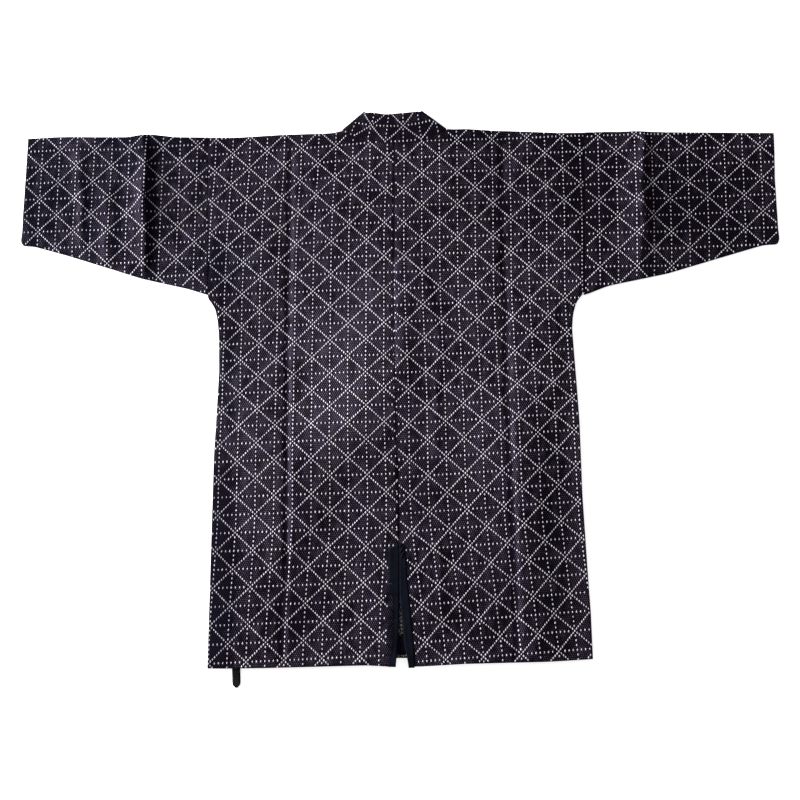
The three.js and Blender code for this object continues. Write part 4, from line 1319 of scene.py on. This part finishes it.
def binding(side):
    """A strip wrapped round the slit's edge: across it the columns of WRAP, along it the rows."""
    heights = spaced(0, SLIT_TOP, .003)
    tree = body_trees[side]
    tops = []
    for height in heights:
        x = softly(CENTRE_BACK[side], min(height, .160)) + side * .0035
        tops.append(level(tree, x, max(row_y(height, x), row_y(0, x) + .002)))

    def place(column, row):
        share, face = WRAP[column]
        height = heights[row]
        x = mix(softly(SLIT_EDGE[side], height), softly(BINDING_EDGE[side], height), share)
        y = row_y(height, x) + TAPE_END * (1 - share) * ease((height - SLIT_TOP + .030) / .030)
        y -= TAPE_HANGS[side] * ease(1 - height / .012)
        pucker = .00020 * math.sin(height * 260 + side) + .00014 * math.sin(height * 610 + share * 3)
        middle = tops[row] - CLOTH / 2
        z = middle + face * (CLOTH / 2 + BINDING_THICK) + (pucker if face > 0.5 else 0.0)
        return Vector((x + draft_x, y + draft_y, z))

    bm = grid_mesh(len(WRAP), len(heights), place)
    level_top = sum(tops) / len(tops)
    face_out(bm, lambda centre: Vector((0, 0, 1 if centre.z > level_top - CLOTH / 2 else -1)))
    return bm


for side, word in ((-1, "left"), (1, "right")):
    name = "slit_binding_" + word
    strip = as_piece(name + "_tape", binding(side), [tape_navy], BINDING_THICK)
    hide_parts(name)

# Bar tack
# At the top of the slit the end of the right binding is twisted and caught down with a few turns
# of the same dark cotton.
TACK_TWISTS = [(.0006, .1725, 58), (.0030, .1690, 48), (.0012, .1645, 52), (.0038, .1610, 50),
               (.0022, .1560, 60)]
TACK_SIZE = (0.0042, 0.0013, 0.0013)
tack = bmesh.new()
for x, y, turn in TACK_TWISTS:
    z = level(body_trees[1], .004, y) + .0010
    slant = Matrix.Rotation(math.radians(turn), 3, "Z")
    made = bmesh.ops.create_uvsphere(tack, u_segments=12, v_segments=8, radius=1.0)["verts"]
    bmesh.ops.scale(tack, verts=made, vec=TACK_SIZE)
    bmesh.ops.rotate(tack, verts=made, cent=(0, 0, 0), matrix=slant)
    bmesh.ops.translate(tack, verts=made, vec=(x + draft_x, y + draft_y, z))
as_piece("bar_tack", tack, [tape_navy])

# Hem facing
# Navy tape sewn inside the front hem. A short stretch shows through the slit.
FACING_LOW = 0.0055
FACING_HIGH = 0.0325
FACING_ROWS = 4


def hem_facing():
    tree = cad_tree("hem_facing")
    places = spaced(-.1385, .2675, .007)

    def place(column, row):
        x = places[column]
        share = row / (FACING_ROWS - 1)
        y = row_y(mix(FACING_LOW, FACING_HIGH, share), x, FRONT_SHORTER)
        at_y = row_y(mix(FACING_LOW + .001, FACING_HIGH - .001, share), x, FRONT_SHORTER)
        z = level(tree, inset(x, places[0], places[-1]), at_y)
        return Vector((x + draft_x, y + draft_y, z))

    bm = grid_mesh(len(places), FACING_ROWS, place)
    face_out(bm, upward)
    return bm


facing = as_piece("hem_facing_tape", hem_facing(), [tape_navy], .0007)
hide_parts("hem_facing")

# Ties
# Four flat black cotton tapes, turned over and stitched at the end. One shows below the left hem.
TIES = {
    "tie_inner_left": [(-.266, .268), (-.250, .190), (-.241, .070), (-.2375, -.032)],
    "tie_inner_right": [(-.140, .296), (-.176, .262), (-.196, .170), (-.202, .060)],
    "tie_outer_left": [(.134, .300), (.172, .262), (.206, .180), (.214, .060)],
    "tie_outer_right": [(.258, .372), (.224, .392), (.196, .450), (.182, .600)],
}
TIE_HALF = 0.0060
TIE_POINT = 0.007
TIE_ROWS = 76
TIE_COLUMNS = 7
TIE_DARK = (0.0050, 0.0056, 0.0062)
TIE_LIGHT = (0.0210, 0.0235, 0.0250)
tie_black = cotton_tape("black_cotton_tape", TIE_DARK, TIE_LIGHT)


def on_curve(points, share):
    """A point and its direction on a smooth line through four points."""
    first = points[0] * 2 - points[1]
    last = points[-1] * 2 - points[-2]
    line = [first, *points, last]
    span = min(len(points) - 2, int(share * (len(points) - 1)))
    t = share * (len(points) - 1) - span
    a, b, c, d = line[span:span + 4]
    bend = 2 * a - 5 * b + 4 * c - d
    twist = 3 * b - a - 3 * c + d
    place = 0.5 * ((2 * b) + (c - a) * t + bend * t ** 2 + twist * t ** 3)
    run = 0.5 * ((c - a) + 2 * bend * t + 3 * twist * t ** 2)
    return place, run.normalized()


def route_length(route):
    return sum((Vector(a) - Vector(b)).length for a, b in zip(route, route[1:]))


def tie(name, route):
    points = [Vector(p) for p in route]
    tree = cad_tree(name)
    length = route_length(route)

    def place(column, row):
        share = row / (TIE_ROWS - 1)
        centre, run = on_curve(points, share)
        left = length * (1 - share)
        half = TIE_HALF
        if left < TIE_POINT:
            half *= math.sqrt(max(0.05, 1 - (1 - left / TIE_POINT) ** 2))
        across = (column / (TIE_COLUMNS - 1) * 2 - 1) * half
        x, y = centre.x - run.y * across, centre.y + run.x * across
        z = level(tree, centre.x - run.y * across * .85, centre.y + run.x * across * .85)
        curl = .0004 * (1 - abs(across) / TIE_HALF) ** 0.5 * math.sin(share * 9) ** 2
        return Vector((x + draft_x, y + draft_y, z + curl - .0002))

    bm = grid_mesh(TIE_COLUMNS, TIE_ROWS, place)
    face_out(bm, upward)
    return bm


for name, route in TIES.items():
    ribbon = as_piece(name + "_tape", tie(name, route), [tie_black], .0012)
    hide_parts(name)
    length = route_length(route)

# Floor and light
# A plain pale floor, and soft light from the upper left.
FLOOR_GLOW = 0.68
ROOM_LIGHT = 0.42
WINDOW_PLACE = Vector((-3.9, 1.3, 1.20))
WINDOW_SIZE = 1.9
WINDOW_POWER = 680.0
floor_bm = bmesh.new()
bmesh.ops.create_grid(floor_bm, x_segments=1, y_segments=1, size=6.0)
floor_mesh = bpy.data.meshes.new("floor")
floor_bm.to_mesh(floor_mesh)
floor_bm.free()
floor = bpy.data.objects.new("floor", floor_mesh)
scene.collection.objects.link(floor)
floor_finish = Finish("pale_floor", 0.9)
floor_place = floor_finish.node("TexCoord", {}, {}, output=3)
floor_tone = floor_finish.noise(floor_place, 3.0)
floor_finish.shader.inputs["Emission Color"].default_value = (1.0, 1.0, 1.0, 1.0)
floor_finish.shader.inputs["Emission Strength"].default_value = FLOOR_GLOW
floor_colour = floor_finish.blend((.93, .93, .93), (.96, .96, .96), floor_tone)
floor_mesh.materials.append(floor_finish.finish(floor_colour))

world = bpy.data.worlds.new("studio")
world.use_nodes = True
world.node_tree.nodes["Background"].inputs["Color"].default_value = (1.0, 1.0, 1.0, 1.0)
world.node_tree.nodes["Background"].inputs["Strength"].default_value = ROOM_LIGHT
scene.world = world

window_data = bpy.data.lights.new("window", "AREA")
window_data.size = WINDOW_SIZE
window_data.energy = WINDOW_POWER
window = bpy.data.objects.new("window", window_data)
scene.collection.objects.link(window)
window.location = WINDOW_PLACE
window.rotation_euler = (-WINDOW_PLACE).to_track_quat("-Z", "Y").to_euler()
